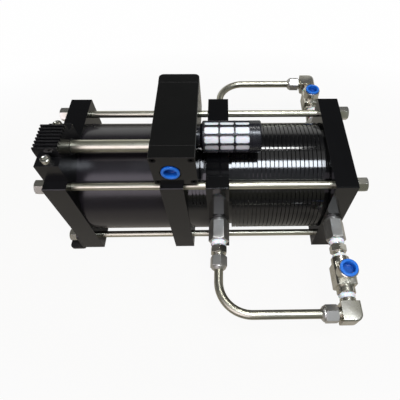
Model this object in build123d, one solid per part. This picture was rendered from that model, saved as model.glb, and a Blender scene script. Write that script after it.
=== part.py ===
from build123d import *
import math
import os

# Air-driven gas booster: a drive cylinder and a double-acting gas cylinder share one piston rod
# between four square plates that four tie rods clamp together.
# X runs along the rods, Z is up and the pipework's front side faces -Y.
# The origin is at the middle of the foot bolt pattern, on the surface that the feet stand on.
# All sizes are millimetres.

# Plates
plate_thickness = 32.0
plate_margin = 2.0
plate_edge_break = 1.0

# Lengths between the plates, from left to right
drive_length = 126.0
distance_length = 30.0
gas_length = 146.0

# Barrels: all three share the outside diameter that the gas barrel and its fins give
gas_bore = 140.0
gas_wall = 11.0
fin_depth = 6.0
drive_wall = 7.0
distance_wall = 15.0
distance_fin_depth = 4.0
barrel_plain_end = 3.5
fin_pitch = 6.3
fin_thickness = 3.6
fin_tip_break = 0.9
distance_fin_count = 3
spigot_depth = 4.0
spigot_clearance = 0.15
gasket_thickness = 1.0

# Tie rods
rod_diameter = 11.0
rod_barrel_gap = 9.3
rod_hole_clearance = 0.6
nut_across_flats = 19.0
nut_length = 18.0
nut_bore_clearance = 0.1
rod_end_break = 1.2

# Feet
foot_thickness = 5.0
foot_reach = 28.0
foot_height = 44.0
foot_corner_radius = 6.0
foot_bend_radius = 7.0
foot_hole_diameter = 11.0
foot_hole_spacing_y = 120.0
foot_hole_from_plate = 16.0

# Pistons and piston rod
piston_gap = 0.3
drive_piston_length = 26.0
gas_end_clearance = 2.5
piston_seal_width = 5.0
piston_seal_depth = 4.0
seal_running_clearance = 0.05
seal_groove_clearance = 0.1
piston_rod_diameter = 25.0
piston_neck_diameter = 16.0
piston_neck_clearance = 0.05
piston_nut_across_flats = 24.0
piston_nut_length = 10.0
piston_nut_recess_clearance = 3.0
rod_gland_wall = 6.0
rod_running_clearance = 0.05
gland_seat_clearance = 0.05

# Pilot valves
pilot_height = 55.0
pilot_stem_diameter = 6.0
pilot_running_clearance = 0.05
pilot_reach = 4.0
pilot_touch_gap = 0.5
pilot_travel = 3.5
pilot_spring_solid = 6.5
pilot_guide_length = 11.0
pilot_head_diameter = 12.0
pilot_head_length = 3.0
pilot_chamber_diameter = 14.0
pilot_spring_wall = 1.2
pilot_cap_clearance = 0.1
pilot_cap_socket = 6.0
pilot_cap_socket_depth = 4.0

# Pilot head on the left plate
head_front = 14.5
head_flange_height = 32.0
head_shoulder = 15.5
head_ridge_length = 46.0
head_height = 48.5
head_ridge_count = 8
head_ridge_depth = 5.0
head_screw_diameter = 8.0
head_screw_end_wall = 1.5
air_passage_diameter = 12.0
flow_gallery_diameter = 6.0

# Flow tube between the pilot head and the valve
flow_tube_diameter = 19.0
flow_tube_wall = 1.5
flow_tube_from_front = 65.0
flow_pocket_floor = 1.5
flow_tube_insertion = 8.0
flow_seal_width = 3.0
flow_seal_wall = 2.5
flow_tube_clearance = 0.1

# Valve block on the drive port plate
valve_overhang = 7.0
valve_width = 59.0
valve_height = 56.0
valve_front = 8.0
valve_front_cover_length = 20.0
valve_body_length = 121.0
valve_rear_cover_length = 18.0
valve_corner_radius = 7.0
valve_edge_break = 0.8
sleeve_side_wall = 1.5
valve_bore_height = 25.5
sleeve_diameter = 30.0
sleeve_wall = 5.0
sleeve_clearance = 0.05
sleeve_port_count = 5
sleeve_port_radius = 3.0
flow_port = 1
exhaust_port = 2
down_port = 4
sleeve_groove_width = 10.0
sleeve_groove_depth = 1.5
spool_running_clearance = 0.03
spool_land_length = 18.0
spool_waist_diameter = 11.0
spool_bore_diameter = 6.0
spool_travel = 8.0
spool_end_gap = 1.0
cover_screw_diameter = 5.0
cover_screw_inset = 5.5
cover_screw_depth = 14.0
screw_tip_gap = 1.0

# Socket-head screws: head sizes as shares of the thread, as the metric standard has them
screw_head_ratio = 1.6
screw_socket_ratio = 0.8
screw_socket_depth_ratio = 0.55
screw_clearance = 0.15

# Ports and their plugs
port_thread_diameter = 19.0
port_thread_length = 12.0
port_mouth_diameter = 21.0
port_mouth_length = 8.0
port_spotface_diameter = 29.0
port_spotface_depth = 1.5
plug_flange_diameter = 25.0
plug_flange_length = 3.5
plug_skirt_length = 7.0
plug_wall = 2.0
plug_clearance = 0.3

# Exhaust muffler on the valve's right side
muffler_diameter = 44.0
muffler_height = 28.0
muffler_wall = 2.5
muffler_neck_diameter = 30.0
muffler_neck_length = 6.0
muffler_thread_diameter = 20.0
muffler_thread_length = 11.0
muffler_floor = 3.0
muffler_cage_length = 64.0
muffler_cap_length = 16.0
muffler_cap_lip = 5.0
muffler_columns = 3
muffler_rows = 10
window_width = 9.6
window_corner = 2.2
window_bridge = 3.8
window_end_wall = 3.45
core_clearance = 0.2
core_wall = 6.0

# Gas ports in the two gas plates
port_shank_diameter = 20.0
port_shank_length = 14.0
thread_clearance = 0.1
gas_passage_diameter = 9.0
gas_passage_from_wall = 8.0

# Check valves: every length is counted outwards from the plate's face
check_collar_diameter = 27.0
check_collar_length = 4.5
check_across_flats = 27.0
check_length = 34.0
check_seat_diameter = 8.0
check_seat_at = 6.0
check_chamber_diameter = 16.0
poppet_diameter = 14.8
poppet_length = 3.0
poppet_stem_diameter = 6.0
poppet_stem_gap = 4.0
poppet_travel = 3.0
poppet_notch_count = 3
poppet_notch_depth = 1.2
poppet_notch_width = 5.0
check_spring_diameter = 10.5
check_spring_wall = 1.4

# Adapters, tube and tube fittings
adapter_shank_diameter = 17.0
adapter_shank_length = 12.0
adapter_neck_diameter = 15.5
tape_gap = 7.0
adapter_across_flats = 22.0
adapter_hex_length = 13.0
flow_bore_diameter = 9.0
tube_diameter = 12.7
tube_wall = 1.6
tube_clearance = 0.1
tube_stop_gap = 7.0
connector_thread_diameter = 18.5
connector_thread_length = 18.0
tube_nut_gap = 4.5
tube_nut_length = 24.0
tube_nut_across_flats = 22.2
tube_nut_skirt = 4.0
tube_nut_skirt_break = 1.5
tube_bend_radius = 47.0
elbow_half = 13.0
elbow_round = 9.0
elbow_break = 2.5
elbow_neck_diameter = 22.0
elbow_neck_length = 4.0
elbow_gap = 13.4
tee_gap = 10.6
tee_length = 54.0
tee_collar_diameter = 26.0
tee_block_side = 24.0
tee_block_length = 32.0
tee_block_break = 5.0
tee_branch_diameter = 28.0
tee_branch_height = 29.0

# Stations worked out from the sizes above
gas_outer_diameter = gas_bore + 2 * gas_wall
fin_outer_diameter = gas_outer_diameter + 2 * fin_depth
drive_outer_diameter = fin_outer_diameter
drive_bore = drive_outer_diameter - 2 * drive_wall
distance_outer_diameter = fin_outer_diameter - 2 * distance_fin_depth
distance_bore = distance_outer_diameter - 2 * distance_wall
plate_side = fin_outer_diameter + 2 * plate_margin
rod_pattern = (fin_outer_diameter + rod_diameter + 2 * rod_barrel_gap) / math.sqrt(2)
overall_length = 4 * plate_thickness + drive_length + distance_length + gas_length
left_outer = -overall_length / 2
left_inner = left_outer + plate_thickness
port_left = left_inner + drive_length
port_right = port_left + plate_thickness
inner_left = port_right + distance_length
inner_right = inner_left + plate_thickness
outer_left = inner_right + gas_length
right_outer = outer_left + plate_thickness
axis_z = foot_thickness + plate_side / 2
plate_top = foot_thickness + plate_side
front_face = -plate_side / 2
rear_face = plate_side / 2
drive_stroke = drive_length - drive_piston_length - 2 * (pilot_reach + pilot_touch_gap)
gas_piston_length = gas_length - drive_stroke - 2 * gas_end_clearance
drive_middle = (left_inner + port_left) / 2
gas_middle = (inner_right + outer_left) / 2
piston_nut_recess = piston_nut_length + piston_nut_recess_clearance
pilot_z = axis_z + pilot_height
head_screw_depth = (plate_side - rod_pattern - rod_diameter) / 2 - rod_hole_clearance - head_screw_end_wall
head_length = head_ridge_length + 2 * head_shoulder
valve_x0 = port_left - valve_overhang
valve_x1 = valve_x0 + valve_width
valve_y0 = front_face + valve_front
valve_y1 = valve_y0 + valve_front_cover_length
valve_y2 = valve_y1 + valve_body_length
valve_y3 = valve_y2 + valve_rear_cover_length
valve_axis_x = valve_x0 + flow_tube_insertion + sleeve_side_wall + sleeve_diameter / 2
valve_axis_z = plate_top + valve_bore_height
flow_y = front_face + flow_tube_from_front
flow_z = plate_top + flow_tube_diameter / 2 + flow_seal_wall + flow_pocket_floor
sleeve_port_pitch = valve_body_length / (sleeve_port_count + 1)
muffler_y = valve_y1 + exhaust_port * sleeve_port_pitch
down_port_y = valve_y1 + down_port * sleeve_port_pitch
muffler_z = plate_top + muffler_height
window_room = muffler_cage_length - 2 * window_end_wall - (muffler_columns - 1) * window_bridge
window_length = window_room / muffler_columns
inner_port_x = (inner_left + inner_right) / 2
outer_port_x = (outer_left + right_outer) / 2
adapter_hex_end = check_length + tape_gap + adapter_hex_length
tube_stop_at = adapter_hex_end + tube_stop_gap
connector_thread_end = adapter_hex_end + connector_thread_length
tube_nut_start = adapter_hex_end + tube_nut_gap
tee_start = adapter_hex_end + tee_gap
tee_end = tee_start + tee_length
tee_middle = (tee_start + tee_end) / 2
tube_run_offset = tee_end + elbow_gap + elbow_half
elbow_stop_x = outer_port_x - elbow_half - tube_stop_gap
plug_diameter = port_mouth_diameter - 2 * plug_clearance
pilot_spring_length = pilot_spring_solid + pilot_travel
check_chamber_end = check_length - adapter_shank_length
poppet_room = check_chamber_end - check_seat_at - poppet_travel
poppet_stem_length = poppet_room - poppet_length - poppet_stem_gap


def along_x(x0, x1, diameter, y=0.0, z=axis_z):
    """A round bar from x0 to x1."""
    return Pos((x0 + x1) / 2, y, z) * Rot(0, 90, 0) * Cylinder(diameter / 2, x1 - x0)


def along_y(y0, y1, diameter, x=0.0, z=axis_z):
    """A round bar from y0 to y1."""
    return Pos(x, (y0 + y1) / 2, z) * Rot(90, 0, 0) * Cylinder(diameter / 2, y1 - y0)


def along_z(z0, z1, diameter, x=0.0, y=0.0):
    """A round bar from z0 to z1."""
    return Pos(x, y, (z0 + z1) / 2) * Cylinder(diameter / 2, z1 - z0)


def block(x0, x1, y0, y1, z0, z1):
    """A box between two corners."""
    return Pos((x0 + x1) / 2, (y0 + y1) / 2, (z0 + z1) / 2) * Box(x1 - x0, y1 - y0, z1 - z0)


def hex_bar(across_flats, z0, z1):
    """A hexagonal bar along Z, with two flats facing +X and -X."""
    profile = Rot(0, 0, 30) * RegularPolygon(across_flats / 2, 6, major_radius=False)
    return extrude(Pos(0, 0, z0) * profile, z1 - z0)


def chamfered_hex(across_flats, z0, z1, both=True):
    """A hexagonal bar whose end corners are turned back to a cone, as on a nut."""
    half = across_flats / 2
    corner = half / math.cos(math.radians(30)) + 0.1
    drop = (corner - half * 0.97) * math.tan(math.radians(30))
    low = [(half * 0.97, z0), (corner, z0 + drop)] if both else [(corner, z0)]
    outline = [(0, z0), *low, (corner, z1 - drop), (half * 0.97, z1), (0, z1)]
    cone = revolve(Plane.XZ * make_face(Polyline(*outline, close=True)), Axis.Z)
    return hex_bar(across_flats, z0, z1) & cone


def turned(points):
    """A solid of revolution about Z from (radius, height) points."""
    return revolve(Plane.XZ * make_face(Polyline(*points, close=True)), Axis.Z)


def bar(z0, z1, diameter):
    """A round bar on the Z axis."""
    return Pos(0, 0, (z0 + z1) / 2) * Cylinder(diameter / 2, z1 - z0)


def ring(z0, z1, outer, inner):
    """A plain ring on the Z axis."""
    return bar(z0, z1, outer) - bar(z0 - 1, z1 + 1, inner)


def turned_along_x(points):
    """A solid of revolution about the cylinders' axis from (x, radius) points."""
    profile = Plane.XZ * make_face(Polyline(*points, close=True))
    return Pos(0, 0, axis_z) * revolve(profile, Axis.X)


def corners():
    """The tie rods' four places in the plates, as (y, z)."""
    half = rod_pattern / 2
    return [(y, axis_z + z) for y in (-half, half) for z in (-half, half)]


# Plates

def plain_plate(x0):
    """A square plate with broken edges and the four tie-rod holes."""
    plate = block(x0, x0 + plate_thickness, front_face, rear_face, foot_thickness, plate_top)
    plate = chamfer(plate.edges().filter_by(Axis.X), plate_edge_break)
    for y, z in corners():
        hole = rod_diameter + 2 * rod_hole_clearance
        plate -= along_x(x0 - 1, x0 + plate_thickness + 1, hole, y, z)
    return plate


def barrel_seat(face, inward, outer, bore):
    """The ring recess that a barrel's end sits in; inward is +1 or -1 along X into the plate."""
    depth = spigot_depth + gasket_thickness
    x0, x1 = sorted((face, face + inward * depth))
    seat = along_x(x0, x1, outer + 2 * spigot_clearance)
    return seat - along_x(x0 - 1, x1 + 1, bore - 2 * spigot_clearance)


def pilot_bore(face, inward):
    """The stepped bore of one pilot valve, from the chamber's face to the plate's other side."""
    guide = face + inward * pilot_guide_length
    far = face + inward * plate_thickness
    narrow = along_x(*sorted((face - inward, guide + inward)),
                     pilot_stem_diameter + 2 * pilot_running_clearance, 0, pilot_z)
    wide = along_x(*sorted((guide, far + inward)), pilot_chamber_diameter, 0, pilot_z)
    return narrow + wide


def nut_recess(face, inward):
    """The blind recess that takes a piston nut at the end of the stroke."""
    width = piston_nut_across_flats / math.cos(math.radians(30)) + 2 * piston_nut_recess_clearance
    return along_x(*sorted((face - inward, face + inward * piston_nut_recess)), width)


def left_end_plate():
    plate = plain_plate(left_outer)
    plate -= barrel_seat(left_inner, -1, drive_outer_diameter, drive_bore)
    plate -= nut_recess(left_inner, -1)
    plate -= pilot_bore(left_inner, -1)
    middle = (left_outer + left_inner) / 2
    chamber_z = axis_z + drive_bore / 2 - air_passage_diameter
    plate -= along_z(chamber_z, plate_top + 1, air_passage_diameter, middle, flow_y)
    plate -= along_x(middle, left_inner + 1, air_passage_diameter, flow_y, chamber_z)
    for y in head_screw_places():
        plate -= along_z(plate_top - head_screw_depth, plate_top + 1,
                         head_screw_diameter + 2 * screw_clearance, middle, y)
    return plate


def drive_port_plate():
    plate = plain_plate(port_left)
    plate -= barrel_seat(port_left, 1, drive_outer_diameter, drive_bore)
    plate -= barrel_seat(port_right, -1, distance_outer_diameter, distance_bore)
    plate -= pilot_bore(port_left, 1)
    plate -= gland_bore(port_left)
    middle = (port_left + port_right) / 2
    chamber_z = axis_z + drive_bore / 2 - air_passage_diameter
    plate -= along_z(chamber_z, plate_top + 1, air_passage_diameter, middle, down_port_y)
    plate -= along_x(port_left - 1, middle, air_passage_diameter, down_port_y, chamber_z)
    return plate


def gas_passage(x, toward_chamber, side):
    """Port, drilling and elbow passage from a gas plate's side into its chamber."""
    face = side * plate_side / 2
    inner = side * (gas_bore / 2 - gas_passage_from_wall)
    port = along_y(*sorted((face + side, face - side * port_shank_length)),
                   port_shank_diameter + 2 * thread_clearance, x)
    drilling = along_y(*sorted((face, inner)), gas_passage_diameter, x)
    end = x + toward_chamber * (plate_thickness / 2 + 1)
    return port + drilling + along_x(*sorted((x, end)), gas_passage_diameter, inner)


def inner_gas_plate():
    plate = plain_plate(inner_left)
    plate -= barrel_seat(inner_left, 1, distance_outer_diameter, distance_bore)
    plate -= barrel_seat(inner_right, -1, gas_outer_diameter, gas_bore)
    plate -= gland_bore(inner_left)
    for side in (-1, 1):
        plate -= gas_passage(inner_port_x, 1, side)
    return plate


def outer_gas_plate():
    plate = plain_plate(outer_left)
    plate -= barrel_seat(outer_left, 1, gas_outer_diameter, gas_bore)
    plate -= nut_recess(outer_left, 1)
    for side in (-1, 1):
        plate -= gas_passage(outer_port_x, -1, side)
    return plate


# Barrels

def plain_barrel(x0, x1, outer, bore):
    """A plain tube whose ends reach into the plates' seats."""
    a, b = x0 - spigot_depth, x1 + spigot_depth
    return along_x(a, b, outer) - along_x(a - 1, b + 1, bore)


def finned_profile(x0, x1, fin_starts, root, bore):
    """Half section of a barrel with trapezoid fins standing on its root diameter."""
    tip = fin_outer_diameter / 2
    points = [(x0 - spigot_depth, bore / 2), (x0 - spigot_depth, root / 2)]
    for x in fin_starts:
        points += [(x, root / 2), (x + fin_tip_break / 2, tip - fin_tip_break), (x + fin_tip_break, tip)]
        end = x + fin_thickness
        points += [(end - fin_tip_break, tip), (end - fin_tip_break / 2, tip - fin_tip_break)]
        points += [(end, root / 2)]
    return points + [(x1 + spigot_depth, root / 2), (x1 + spigot_depth, bore / 2)]


def gas_barrel():
    """The gas cylinder, turned from bar with cooling fins over its whole free length."""
    room = gas_length - 2 * barrel_plain_end - fin_thickness
    count = int(room / fin_pitch) + 1
    first = gas_middle - ((count - 1) * fin_pitch + fin_thickness) / 2
    starts = [first + i * fin_pitch for i in range(count)]
    root = gas_outer_diameter
    return turned_along_x(finned_profile(inner_right, outer_left, starts, root, gas_bore))


def distance_barrel():
    """The spacer between the drive and gas cylinders, with fins next to the gas side."""
    last = inner_left - barrel_plain_end - fin_thickness
    starts = [last - i * fin_pitch for i in reversed(range(distance_fin_count))]
    root = distance_outer_diameter
    return turned_along_x(finned_profile(port_right, inner_left, starts, root, distance_bore))


def barrel_gaskets():
    """A flat gasket at the bottom of each of the six barrel seats."""
    ends = [(left_inner, -1, drive_outer_diameter, drive_bore),
            (port_left, 1, drive_outer_diameter, drive_bore),
            (port_right, -1, distance_outer_diameter, distance_bore),
            (inner_left, 1, distance_outer_diameter, distance_bore),
            (inner_right, -1, gas_outer_diameter, gas_bore), (outer_left, 1, gas_outer_diameter, gas_bore)]
    rings = []
    for face, inward, outer, bore in ends:
        near = face + inward * spigot_depth
        x0, x1 = sorted((near, near + inward * gasket_thickness))
        rings.append(along_x(x0, x1, outer) - along_x(x0 - 1, x1 + 1, bore))
    return rings


# Tie rods and feet

def rod_overhang(z):
    """How far a tie rod's end stands out past its end plate: the lower rods clamp the feet too."""
    return nut_length + (foot_thickness if z < axis_z else 0.0)


def tie_rods():
    rods = []
    for y, z in corners():
        end = overall_length / 2 + rod_overhang(z)
        rods.append(chamfer(along_x(-end, end, rod_diameter, y, z).edges(), rod_end_break))
    return rods


def tie_rod_nuts():
    """Long hexagon nuts, eight in all."""
    nuts = []
    bore = rod_diameter + 2 * nut_bore_clearance
    for y, z in corners():
        start = overall_length / 2 + rod_overhang(z) - nut_length
        nut = chamfered_hex(nut_across_flats, 0, nut_length) - bar(-1, nut_length + 1, bore)
        nuts.append(Pos(start, y, z) * Rot(0, 90, 0) * nut)
        nuts.append(Pos(-start, y, z) * Rot(0, -90, 0) * nut)
    return nuts


def foot(side):
    """A bent angle foot under one end plate; side is -1 for the left foot and +1 for the right."""
    face = overall_length / 2
    t = foot_thickness
    outline = make_face(Polyline((0, 0), (foot_reach, 0), (foot_reach, t), (t, t), (t, foot_height),
                                 (0, foot_height), close=True))
    angle = extrude(Plane.XZ * outline, plate_side / 2, both=True)
    inner_edge = angle.edges().filter_by(Axis.Y).sort_by_distance((t, 0, t))[0]
    angle = fillet(inner_edge, foot_bend_radius - t)
    outer_edge = angle.edges().filter_by(Axis.Y).sort_by_distance((0, 0, 0))[0]
    angle = fillet(outer_edge, foot_bend_radius)
    tips = angle.edges().filter_by(Axis.Z).group_by(Axis.X)[-1]
    angle = fillet(tips, foot_corner_radius)
    upper = angle.edges().filter_by(Axis.X).group_by(Axis.Z)[-1]
    angle = fillet(upper, foot_corner_radius)
    for y in (-foot_hole_spacing_y / 2, foot_hole_spacing_y / 2):
        angle -= along_z(-1, t + 1, foot_hole_diameter, foot_hole_from_plate, y)
    for y, z in corners()[0:4:2]:
        angle -= along_x(-1, t + 1, rod_diameter + 2 * rod_hole_clearance, y, z)
    placed = Pos(face, 0, 0) * angle
    return placed if side > 0 else placed.mirror(Plane.YZ)


# Pilot head

def head_screw_places():
    """The two screws stand in the middle of the head's shoulders."""
    start = front_face + head_front
    return (start + head_shoulder / 2, start + head_length - head_shoulder / 2)


def pilot_head():
    """Flange and ridged body in one piece, flush with both faces of the left plate."""
    y0 = front_face + head_front
    r0 = y0 + head_shoulder
    low, high, top = plate_top, plate_top + head_flange_height, plate_top + head_height
    pitch = head_ridge_length / head_ridge_count
    points = [(y0, low), (y0, high), (r0, high), (r0, top - head_ridge_depth)]
    for i in range(head_ridge_count):
        y = r0 + i * pitch
        points += [(y + 0.15 * pitch, top), (y + 0.55 * pitch, top)]
        points += [(y + 0.7 * pitch, top - head_ridge_depth), (y + pitch, top - head_ridge_depth)]
    points += [(r0 + head_ridge_length, high), (y0 + head_length, high), (y0 + head_length, low)]
    profile = make_face(Polyline(*points, close=True))
    head = Pos(left_outer, 0, 0) * extrude(Plane.YZ * profile, plate_thickness)
    middle = (left_outer + left_inner) / 2
    tube = flow_tube_diameter + 2 * flow_tube_clearance
    head -= along_x(left_inner - flow_tube_insertion - flow_seal_width, left_inner + 1, tube, flow_y, flow_z)
    head -= seal_pocket(left_inner, -1)
    head -= along_x(middle, left_inner, air_passage_diameter, flow_y, flow_z)
    head -= along_z(plate_top - 1, flow_z, air_passage_diameter, middle, flow_y)
    for y in head_screw_places():
        head -= along_z(low - 1, high + 1, head_screw_diameter + 2 * screw_clearance, middle, y)
    return head


def socket_screw(diameter, length):
    """A socket-head screw: the shank runs down from zero, the head stands on it."""
    head = diameter * screw_head_ratio
    top = bar(0, diameter, head)
    screw = bar(-length, 0, diameter) + chamfer(top.edges().group_by(Axis.Z)[-1], diameter / 12)
    depth = diameter * screw_socket_depth_ratio
    return screw - hex_bar(diameter * screw_socket_ratio, diameter - depth, diameter + 1)


def pilot_head_screws():
    middle = (left_outer + left_inner) / 2
    length = head_flange_height + head_screw_depth - screw_tip_gap
    screw = socket_screw(head_screw_diameter, length)
    return [Pos(middle, y, plate_top + head_flange_height) * screw for y in head_screw_places()]


# Flow tube

def seal_pocket(face, inward):
    """The counterbore that holds the flow tube's sealing ring at a mouth."""
    outer = flow_tube_diameter + 2 * flow_seal_wall
    return along_x(*sorted((face - inward, face + inward * flow_seal_width)), outer, flow_y, flow_z)


def flow_tube():
    x0 = left_inner - flow_tube_insertion
    x1 = valve_x0 + flow_tube_insertion
    bore = flow_tube_diameter - 2 * flow_tube_wall
    return along_x(x0, x1, flow_tube_diameter, flow_y, flow_z) - along_x(x0 - 1, x1 + 1, bore, flow_y, flow_z)


def flow_tube_seals():
    rings = []
    inner = flow_tube_diameter + 2 * flow_tube_clearance
    outer = flow_tube_diameter + 2 * flow_seal_wall - 2 * flow_tube_clearance
    for face, inward in ((left_inner, -1), (valve_x0, 1)):
        x0, x1 = sorted((face, face + inward * flow_seal_width))
        rings.append(along_x(x0, x1, outer, flow_y, flow_z) - along_x(x0 - 1, x1 + 1, inner, flow_y, flow_z))
    return rings


# Valve block

def valve_section(y0, y1):
    return block(valve_x0, valve_x1, y0, y1, plate_top, plate_top + valve_height)


def flow_gallery():
    """The drilling from the flow tube's pocket to the sleeve's first groove, closed by the front cover."""
    x = valve_x0 + flow_tube_insertion - flow_gallery_diameter / 2
    groove_y = valve_y1 + flow_port * sleeve_port_pitch
    gallery = along_y(valve_y1 - 1, flow_y, flow_gallery_diameter, x, flow_z)
    return gallery + along_x(x, valve_axis_x, flow_gallery_diameter, groove_y, flow_z)


def cover_screw_places():
    inset = cover_screw_inset
    xs = (valve_x0 + inset, valve_x1 - inset)
    zs = (plate_top + inset, plate_top + valve_height - inset)
    return [(x, z) for x in xs for z in zs]


def valve_body():
    body = valve_section(valve_y1, valve_y2)
    body = chamfer(body.edges().filter_by(Axis.Y).group_by(Axis.Z)[-1], valve_edge_break)
    body -= along_y(valve_y1 - 1, valve_y2 + 1, sleeve_diameter + 2 * sleeve_clearance,
                    valve_axis_x, valve_axis_z)
    tube = flow_tube_diameter + 2 * flow_tube_clearance
    body -= along_x(valve_x0 - 1, valve_x0 + flow_tube_insertion, tube, flow_y, flow_z)
    body -= seal_pocket(valve_x0, 1)
    body -= flow_gallery()
    body -= along_x(valve_x1 - muffler_thread_length - 1, valve_x1 + 1,
                    muffler_thread_diameter + 2 * thread_clearance, muffler_y, muffler_z)
    body -= along_x(valve_axis_x, valve_x1, air_passage_diameter, muffler_y, muffler_z)
    middle = (port_left + port_right) / 2
    body -= along_z(plate_top - 1, valve_axis_z - sleeve_diameter / 4, air_passage_diameter,
                    middle, down_port_y)
    for x, z in cover_screw_places():
        hole = cover_screw_diameter + 2 * screw_clearance
        body -= along_y(valve_y1 - 1, valve_y1 + cover_screw_depth, hole, x, z)
        body -= along_y(valve_y2 - cover_screw_depth, valve_y2 + 1, hole, x, z)
    return body


def screw_cuts(face, outward, length):
    """Through holes and corner counterbores for one cover's four screws."""
    cuts = []
    head = cover_screw_diameter * screw_head_ratio + 4 * screw_clearance
    for x, z in cover_screw_places():
        hole = cover_screw_diameter + 2 * screw_clearance
        cuts.append(along_y(*sorted((face + outward, face - outward * (length + 1))), hole, x, z))
        cuts.append(along_y(*sorted((face + outward, face - outward * cover_screw_diameter)), head, x, z))
    return cuts


def valve_front_cover():
    """The front cover, with the air supply port in line with the spool."""
    cover = valve_section(valve_y0, valve_y1)
    cover = chamfer(cover.edges().filter_by(Axis.Y).group_by(Axis.Z)[-1], valve_edge_break)
    cover -= screw_cuts(valve_y0, -1, valve_front_cover_length)
    spot = valve_y0 + port_spotface_depth
    for y0, y1, diameter in ((valve_y0 - 1, spot, port_spotface_diameter),
                             (valve_y0, spot + port_mouth_length, port_mouth_diameter),
                             (valve_y0, valve_y1 + 1, port_thread_diameter)):
        cover -= along_y(y0, y1, diameter, valve_axis_x, valve_axis_z)
    return cover


def valve_rear_cover():
    """The closed rear cover, with rounded upright corners."""
    cover = valve_section(valve_y2, valve_y3)
    back = cover.edges().filter_by(Axis.Z).group_by(Axis.Y)[-1]
    cover = fillet(back, valve_corner_radius)
    cover -= screw_cuts(valve_y3, 1, valve_rear_cover_length)
    return cover


def valve_cover_screws():
    screws = []
    for face, turn, cover in ((valve_y0 + cover_screw_diameter, 90, valve_front_cover_length),
                              (valve_y3 - cover_screw_diameter, -90, valve_rear_cover_length)):
        length = cover - cover_screw_diameter + cover_screw_depth - screw_tip_gap
        screw = socket_screw(cover_screw_diameter, length)
        screws += [Pos(x, face, z) * Rot(turn, 0, 0) * screw for x, z in cover_screw_places()]
    return screws


def valve_sleeve():
    """The ported sleeve that the spool slides in."""
    length = valve_body_length
    inner = sleeve_diameter - 2 * sleeve_wall
    sleeve = ring(0, length, sleeve_diameter, inner)
    for i in range(sleeve_port_count):
        at = (i + 1) * sleeve_port_pitch
        half = sleeve_groove_width / 2
        sleeve -= ring(at - half, at + half, sleeve_diameter + 2, sleeve_diameter - 2 * sleeve_groove_depth)
        sleeve -= Pos(0, 0, at) * Rot(90, 0, 0) * Cylinder(sleeve_port_radius, sleeve_diameter + 2)
        sleeve -= Pos(0, 0, at) * Rot(0, 90, 0) * Cylinder(sleeve_port_radius, sleeve_diameter + 2)
    return Pos(valve_axis_x, valve_y1, valve_axis_z) * Rot(-90, 0, 0) * sleeve


def valve_spool():
    """Three lands on a slim hollow core, shown at the front end of its travel."""
    length = valve_body_length - spool_travel - 2 * spool_end_gap
    land = sleeve_diameter - 2 * sleeve_wall - 2 * spool_running_clearance
    spool = bar(0, length, spool_waist_diameter)
    for start in (0, (length - spool_land_length) / 2, length - spool_land_length):
        spool += chamfer(bar(start, start + spool_land_length, land).edges(), 0.4)
    spool -= bar(-1, length + 1, spool_bore_diameter)
    return Pos(valve_axis_x, valve_y1 + spool_end_gap, valve_axis_z) * Rot(-90, 0, 0) * spool


# Muffler

def muffler_cage():
    """A slotted cage with a neck that screws into the valve's exhaust port."""
    a, b = muffler_neck_length, muffler_neck_length + muffler_cage_length
    outer, inner = muffler_diameter / 2, muffler_diameter / 2 - muffler_wall
    cage = turned([(0, -muffler_thread_length), (muffler_thread_diameter / 2, -muffler_thread_length),
                   (muffler_thread_diameter / 2, 0), (muffler_neck_diameter / 2, 0),
                   (muffler_neck_diameter / 2, a / 2), (outer - 1.5, a), (outer, a + 1.5), (outer, b),
                   (inner, b), (inner, a + muffler_floor), (0, a + muffler_floor)])
    cage -= bar(-muffler_thread_length - 1, a + muffler_floor + 1, air_passage_diameter)
    first = muffler_neck_length + window_end_wall + window_length / 2
    cutter = Box(muffler_diameter, window_width, window_length)
    cutter = fillet(cutter.edges().filter_by(Axis.X), window_corner)
    for row in range(muffler_rows):
        spin = Rot(0, 0, row * 360 / muffler_rows)
        for column in range(muffler_columns):
            at = first + column * (window_length + window_bridge)
            cage -= spin * Pos(muffler_diameter / 2 + inner - muffler_wall, 0, at) * cutter
    return place_muffler(cage)


def place_muffler(piece):
    """Turn a piece modelled along Z to lie along +X from the valve's right side."""
    return Pos(valve_x1, muffler_y, muffler_z) * Rot(0, 90, 0) * piece


def muffler_core():
    a = muffler_neck_length + muffler_floor
    b = muffler_neck_length + muffler_cage_length - muffler_cap_lip
    outer = muffler_diameter - 2 * muffler_wall - 2 * core_clearance
    return place_muffler(ring(a, b, outer, outer - 2 * core_wall))


def muffler_cap():
    """The plain end cap, with a lip that closes the cage."""
    b = muffler_neck_length + muffler_cage_length
    lip = muffler_diameter / 2 - muffler_wall - core_clearance
    outer = muffler_diameter / 2
    cap = turned([(0, b - muffler_cap_lip), (lip, b - muffler_cap_lip), (lip, b), (outer, b),
                  (outer, b + muffler_cap_length - 2), (outer - 2, b + muffler_cap_length),
                  (0, b + muffler_cap_length)])
    return place_muffler(cap)


# Pistons

def gland_bore(x0):
    outer = piston_rod_diameter + 2 * rod_running_clearance + 2 * rod_gland_wall + 2 * gland_seat_clearance
    return along_x(x0 - 1, x0 + plate_thickness + 1, outer)


def rod_glands():
    """One bush in each plate that the piston rod passes through."""
    inner = piston_rod_diameter + 2 * rod_running_clearance
    outer = inner + 2 * rod_gland_wall
    glands = []
    for x0 in (port_left, inner_left):
        x1 = x0 + plate_thickness
        glands.append(along_x(x0, x1, outer) - along_x(x0 - 1, x1 + 1, inner))
    return glands


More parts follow.
